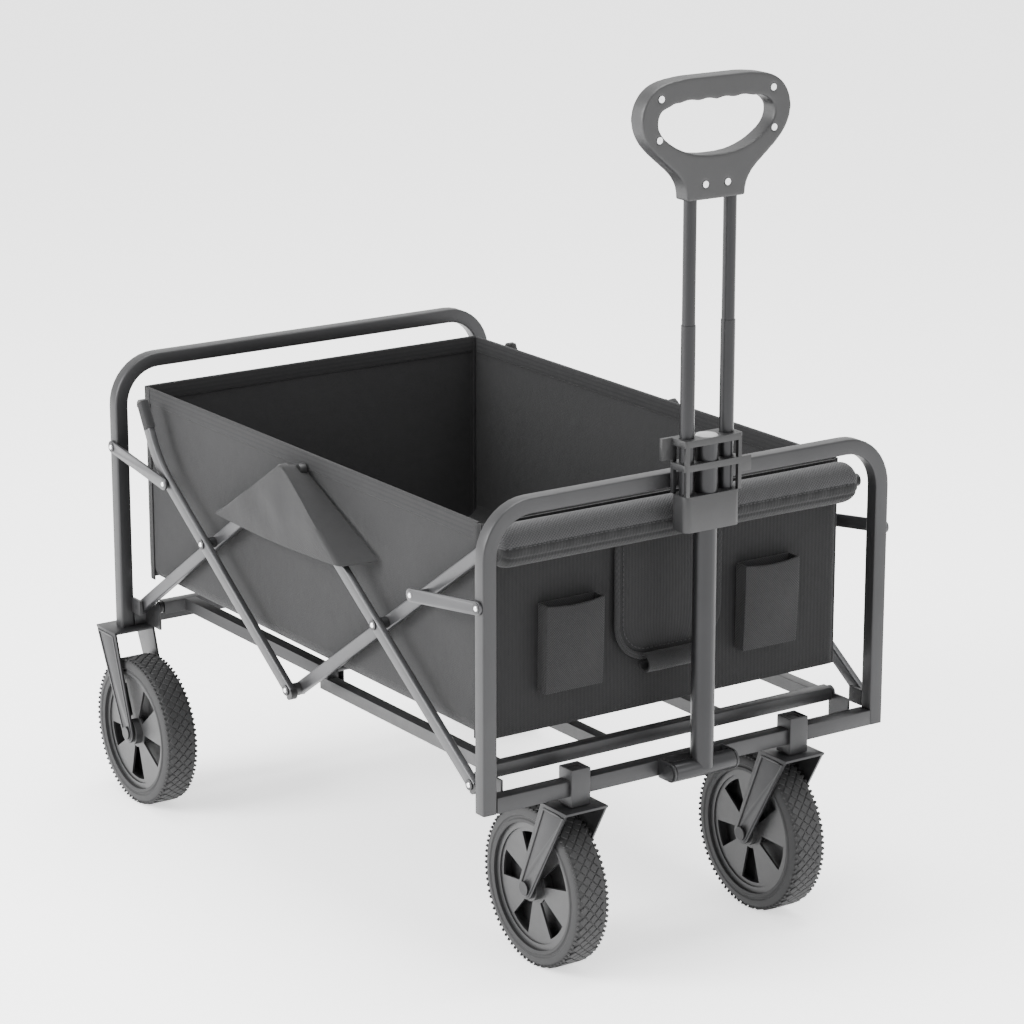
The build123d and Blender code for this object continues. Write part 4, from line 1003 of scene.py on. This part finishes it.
# ---- front wall details ---------------------------------------------------------------------------
def inflate(piece, voxel, pressure, limit, frames=20):
    """Swell a padded piece with a short cloth simulation, no point moving past the limit."""
    only(piece)
    modify(piece, "REMESH", mode="VOXEL", voxel_size=voxel)
    rest = [v.co.copy() for v in piece.data.vertices]
    cloth = piece.modifiers.new("cloth", "CLOTH")
    cloth.settings.use_pressure = True
    cloth.settings.uniform_pressure_force = pressure
    cloth.settings.effector_weights.gravity = 0
    cloth.settings.quality = 5
    cloth.point_cache.frame_end = frames
    scene = bpy.context.scene
    for number in range(1, frames + 1):
        scene.frame_set(number)
    only(piece)
    bpy.ops.object.modifier_apply(modifier=cloth.name)
    for vertex, start in zip(piece.data.vertices, rest):
        move = vertex.co - start
        if move.length > limit:
            vertex.co = start + move.normalized() * limit
    scene.frame_set(1)
    return piece


def wrap_uv(piece, axis_centre):
    """UV map round a roll that lies along Y, in metres."""
    layer = piece.data.uv_layers.get("cloth") or piece.data.uv_layers.new(name="cloth")
    cx, cz, radius = axis_centre
    for polygon in piece.data.polygons:
        mid = polygon.center
        base = math.atan2(mid.z - cz, mid.x - cx)
        for index in polygon.loop_indices:
            co = piece.data.vertices[piece.data.loops[index].vertex_index].co
            turn = math.atan2(co.z - cz, co.x - cx)
            while turn - base > pi:
                turn -= 2 * pi
            while turn - base < -pi:
                turn += 2 * pi
            layer.data[index].uv = (co.y, turn * radius)


ROLL_GRAIN = 0.0042         # size of the cells that the roll is remade in
ROLL_PRESSURE = 2.5
ROLL_SWELL = 0.004          # most that the roll swells
ROLL_LAP = -0.45            # turn of the cover's free edge round the roll
ROLL_SEAM = 0.12            # turn of the sewn seam
ROLL_UNDER = -2.2           # the front wall's cloth covers the roll from this turn to the seam


def make_roll():
    """Cover rolled up along the top of the front wall, with soft ends."""
    radius = (ROLL_HIGH.z - ROLL_LOW.z) / 2
    centre_x = ROLL_HIGH.x - radius - 0.0005
    centre_z = (ROLL_HIGH.z + ROLL_LOW.z) / 2
    half = ROLL_HIGH.y

    def place(u, v):
        y = -half + 2 * half * u
        end = min(1.0, (half - abs(y)) / 0.012)
        size = radius * (0.70 + 0.23 * math.sqrt(max(end, 0.0)))
        size *= 1 + 0.02 * noise.noise(Vector((y * 9, 0.3, 6.0)))
        turn = 2 * pi * v
        return Vector((centre_x + size * cos(turn), y, centre_z + size * sin(turn)))

    roll = close_ends(grid("rolled_cover", 70, 36, place))
    inflate(roll, ROLL_GRAIN, ROLL_PRESSURE, ROLL_SWELL)
    modify(roll, "SUBSURF", levels=1, render_levels=1)
    for vertex in roll.data.vertices:
        co = vertex.co
        turn = math.atan2(co.z - centre_z, co.x - centre_x)
        lap = math.exp(-((turn - ROLL_LAP) / 0.09) ** 2)
        seam = math.exp(-((turn - ROLL_SEAM) / 0.05) ** 2)
        out = Vector((cos(turn), 0, sin(turn)))
        vertex.co = co - out * (0.0016 * lap + 0.0012 * seam)
        pucker = 0.0006 * math.sin(co.y * 260) * math.exp(-((turn - ROLL_SEAM) / 0.25) ** 2)
        vertex.co += out * pucker
    wrap_uv(roll, (centre_x, centre_z, radius))
    outward(roll)
    smooth(roll, 60)
    finish_piece(roll, ROLL_CLOTH, "front_frame", "cover_cloth", ["cover_roll"])
    roll.data.materials.append(FRONT_CLOTH)
    for polygon in roll.data.polygons:
        turn = math.atan2(polygon.center.z - centre_z, polygon.center.x - centre_x)
        polygon.material_index = 1 if ROLL_UNDER < turn < ROLL_SEAM else 0
    reach = radius * 0.94
    x = centre_x + reach * cos(ROLL_SEAM)
    z = centre_z + reach * sin(ROLL_SEAM)
    rows = [[(x, -half + 0.012, z), (x, half - 0.012, z)]]
    stitches("rolled_cover_stitching", rows, "front_frame", THREAD)


POCKET_HALF = 0.041
POCKET_MIDDLE = POCKET_HIGH.y - POCKET_HALF
POCKET_RIM = 0.0026                         # thickness of the rim and walls
POCKET_DROPS = (0.003, 0.027, 0.030, 0.030)  # steps down the inside of the pocket


def make_pocket(name, y_centre):
    """Bellows pocket, open at the top, with a folded rim."""
    half = POCKET_HALF
    back = POCKET_LOW.x
    front = POCKET_HIGH.x
    low, top = POCKET_LOW.z, POCKET_HIGH.z
    deselect()
    bpy.ops.mesh.primitive_cube_add(
        size=1, location=((back + front) / 2, y_centre, (low + top) / 2),
        scale=(front - back, 2 * half, top - low)
    )
    pocket = settle(bpy.context.object)
    pocket.name = name
    pocket.data.name = name
    bpy.ops.object.mode_set(mode="EDIT")
    bpy.ops.mesh.select_all(action="SELECT")
    bpy.ops.mesh.subdivide(number_cuts=5)
    bpy.ops.object.mode_set(mode="OBJECT")
    for part in [*pocket.data.edges, *pocket.data.vertices]:
        part.select = False
    for polygon in pocket.data.polygons:
        polygon.select = polygon.normal.z > 0.9
        if polygon.select:
            for index in polygon.vertices:
                pocket.data.vertices[index].select = True
    bpy.ops.object.mode_set(mode="EDIT")
    bpy.ops.mesh.select_mode(type="FACE")
    bpy.ops.mesh.inset(thickness=POCKET_RIM)
    for drop in POCKET_DROPS:
        bpy.ops.mesh.extrude_region_move(TRANSFORM_OT_translate={"value": (0, 0, -drop)})
    bpy.ops.object.mode_set(mode="OBJECT")
    modify(pocket, "BEVEL", width=0.0022, segments=2, limit_method="ANGLE", angle_limit=radians(50))
    for vertex in pocket.data.vertices:
        co = vertex.co
        across = (co.y - y_centre) / half
        tall = (co.z - low) / (top - low)
        ahead = (co.x - back) / (front - back)
        bulge = (1 - across ** 2) * math.sin(pi * min(max(tall, 0), 1) * 0.9)
        if ahead > 0.3:
            co.x += 0.003 * bulge * ahead - 0.004 * (1 - tall) * (1 - tall) * ahead
            co.z -= 0.004 * (1 - across ** 2) * max(tall - 0.8, 0) / 0.2 * ahead
        co.y += 0.0008 * noise.noise(Vector((co.x * 40, co.z * 30, y_centre * 10)))
    modify(pocket, "SUBSURF", levels=1, render_levels=1)
    box_uv(pocket)
    outward(pocket)
    smooth(pocket, 50)
    return pocket


def box_uv(piece):
    """UV map in metres from the side that each face looks to."""
    layer = piece.data.uv_layers.get("cloth") or piece.data.uv_layers.new(name="cloth")
    for polygon in piece.data.polygons:
        n = polygon.normal
        big = max(range(3), key=lambda i: abs(n[i]))
        a, b = [i for i in range(3) if i != big]
        for index in polygon.loop_indices:
            co = piece.data.vertices[piece.data.loops[index].vertex_index].co
            layer.data[index].uv = (co[a], co[b])


def make_pockets():
    """The two pockets of the front wall."""
    pair = [
        make_pocket("front_pocket_right", -POCKET_MIDDLE),
        make_pocket("front_pocket_left", POCKET_MIDDLE),
    ]
    for pocket in pair:
        finish_piece(pocket, POCKET_CLOTH, "front_frame", "woven_cloth")
    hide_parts("front_pockets")


FLAP_ROUND = 0.045          # rounded lower corners of the flap
FLAP_SEAM_INSET = 0.009
LOOP_R = 0.0105             # rolled loop under the flap
LOOP_HALF = 0.040
LOOP_CLOTH = 0.0024


def flap_outline(inset):
    """Run of points round the flap: down one side, round the corners and up the other."""
    half = FLAP_HIGH.y - inset
    top, low = FLAP_HIGH.z, FLAP_LOW.z + inset
    bend = FLAP_ROUND - inset
    x = FLAP_HIGH.x + 0.0008

    def plane(y, z):
        return Vector((x, y, z))

    points = [plane(-half, top), plane(-half, low + bend + 0.02)]
    points += arc((-half + bend, low + bend), bend, 180, 270, 10, plane)
    points += arc((half - bend, low + bend), bend, 270, 360, 10, plane)
    points += [plane(half, low + bend + 0.02), plane(half, top)]
    return points


def make_flap():
    """Round-cornered centre flap with a bound edge and a small rolled loop under it."""
    top, low = FLAP_HIGH.z, FLAP_LOW.z
    half = FLAP_HIGH.y
    face_x = FLAP_LOW.x + 0.0012

    def place(u, v):
        z = top + (low - top) * v
        over = max(0.0, (low + FLAP_ROUND) - z)
        edge = half - FLAP_ROUND + math.sqrt(max(FLAP_ROUND ** 2 - over ** 2, 0.0)) if over > 0 else half
        y = -edge + 2 * edge * u
        sag = 0.0025 * math.sin(pi * u) * math.sin(pi * v)
        x = face_x + sag + 0.0006 * noise.noise(Vector((y * 14, z * 14, 3)))
        return Vector((x, y, z))

    flap = grid("centre_flap", 34, 40, place, (2 * half, top - low))
    thick(flap, CLOTH)
    outward(flap)
    smooth(flap, 60)
    finish_piece(flap, FRONT_CLOTH, "front_frame", "woven_cloth", ["front_flap"])
    binding = sweep("flap_binding", flap_outline(0.0), rounded(0.0013, 0.0038, 0.0012, 2), (1, 0, 0))
    finish_piece(binding, BINDING, "front_frame", "woven_cloth")
    stitches("flap_stitching", [flap_outline(FLAP_SEAM_INSET)], "front_frame", THREAD)
    middle = Vector((FLAP_HIGH.x + LOOP_R - 0.002, 0, low - 0.006))
    turns = [radians(-160 + 330 * k / 26) for k in range(27)]

    def place_loop(u, v):
        y = -LOOP_HALF + 2 * LOOP_HALF * u
        turn = turns[int(round(v * (len(turns) - 1)))]
        size = LOOP_R * (1 + 0.05 * noise.noise(Vector((y * 30, turn, 8.0))))
        return middle + Vector((size * cos(turn), y, size * sin(turn)))

    loop = grid("flap_loop", 24, 26, place_loop, (2 * LOOP_HALF, 0.06))
    thick(loop, LOOP_CLOTH)
    outward(loop)
    smooth(loop, 60)
    finish_piece(loop, BINDING, "front_frame", "woven_cloth")


# ---- side tents ---------------------------------------------------------------------------------------
# corners of a tent, as (x, height over the top pivot); the seams are on the wall, the edges stand off it
TENT_TOP_SEAM = (-0.006, 0.006)
TENT_TOP_EDGE = (0.006, 0.0145)
TENT_LEFT_SEAM = (-0.222, -0.105)
TENT_LEFT_EDGE = (-0.192, -0.098)
TENT_RIGHT_EDGE = (0.141, -0.083)
TENT_RIGHT_SEAM = (0.172, -0.074)
TENT_LEFT_OUT = 0.280       # left edge from the wagon's middle
TENT_OVER_BAR = 0.0060      # tent outside the bars
TENT_OFF_WALL = 0.0014      # seam outside the wall


def make_tents():
    """Cloth tents sewn to the side walls, held out by the top pivots."""
    out = BAR_OUT_HIGH.y + TENT_OVER_BAR
    wall = TUB_SIDE + TENT_OFF_WALL
    pivot = JOINT["top_pivot"]

    def corner(spot, reach):
        return Vector((spot[0], reach, pivot.z + spot[1]))

    inner_top, outer_top = corner(TENT_TOP_SEAM, wall), corner(TENT_TOP_EDGE, out)
    lines = [
        (inner_top, corner(TENT_LEFT_SEAM, wall)), (outer_top, corner(TENT_LEFT_EDGE, TENT_LEFT_OUT)),
        (outer_top, corner(TENT_RIGHT_EDGE, out)), (inner_top, corner(TENT_RIGHT_SEAM, wall)),
    ]
    stops = (0.0, 0.25, 0.75, 1.0)
    columns, rows = 56, 26

    def place(u, v):
        k = 0 if u < stops[1] else (1 if u < stops[2] else 2)
        share = (u - stops[k]) / (stops[k + 1] - stops[k])
        a = lines[k][0].lerp(lines[k][1], v)
        b = lines[k + 1][0].lerp(lines[k + 1][1], v)
        spot = a.lerp(b, share)
        loose = math.sin(pi * v * 0.9) * math.sin(pi * min(max(u, 0), 1))
        spot.y += 0.0035 * loose * noise.noise(Vector((spot.x * 22, spot.z * 20, 5.0)))
        spot.z -= 0.004 * math.sin(pi * share) * v if k == 1 else 0.0
        return Vector((spot.x, -spot.y, spot.z))

    tent = grid("side_tent_right", columns, rows, place, (0.38, 0.13))
    only(tent)
    bpy.ops.object.mode_set(mode="EDIT")
    bpy.ops.mesh.select_all(action="SELECT")
    bpy.ops.mesh.remove_doubles(threshold=0.0002)
    bpy.ops.mesh.normals_make_consistent(inside=False)
    bpy.ops.object.mode_set(mode="OBJECT")
    modify(tent, "SMOOTH", factor=0.5, iterations=2)
    thick(tent, CLOTH)
    outward(tent)
    smooth(tent, 60)
    other = mirrored(tent, "side_tent_left")
    smooth(other, 60)
    for piece in (tent, other):
        finish_piece(piece, TENT_CLOTH, "front_frame", "woven_cloth")
        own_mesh(piece)
    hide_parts("side_flaps")


# ---- pole cap ---------------------------------------------------------------------------------------
CAP_TALL = 0.008


def make_pole_cap():
    """Moulded cap on the pole's open top."""
    low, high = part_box("pole_tube")
    centre = (low + high) / 2
    radius = (high.x - low.x) / 2
    deselect()
    bpy.ops.mesh.primitive_cylinder_add(
        vertices=48, radius=radius - 0.0002, depth=CAP_TALL,
        location=(centre.x, centre.y, high.z + CAP_TALL / 2),
    )
    cap = settle(bpy.context.object)
    cap.name = "pole_cap"
    modify(cap, "BEVEL", width=0.0025, segments=3, limit_method="ANGLE", angle_limit=radians(50))
    smooth(cap)
    finish_piece(cap, moulded_plastic("pole_cap_moulding", (0.30, 0.30, 0.30), 0.5), "pole", "black_plastic")


# ---- assembly -----------------------------------------------------------------------------------
add_stage()
make_hoops()
make_bars()
make_hardware()
make_grip()
make_rivets()
make_fork_ribs()
make_corner_sleeves()
for end in ("front", "rear"):
    for hand in ("left", "right"):
        make_tyre(f"{end}_{hand}_treaded_tyre", f"{end}_{hand}_tyre", f"{end}_{hand}_wheel")
        make_wheel_shade_core(f"{end}_{hand}_wheel_core", f"{end}_{hand}_rim", f"{end}_{hand}_wheel")
sling = make_sling()
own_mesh(sling)
make_end_wall("front")
make_end_wall("rear")
make_hems()
make_corner_piping()
make_roll()
make_pockets()
make_flap()
make_tents()
make_pole_cap()
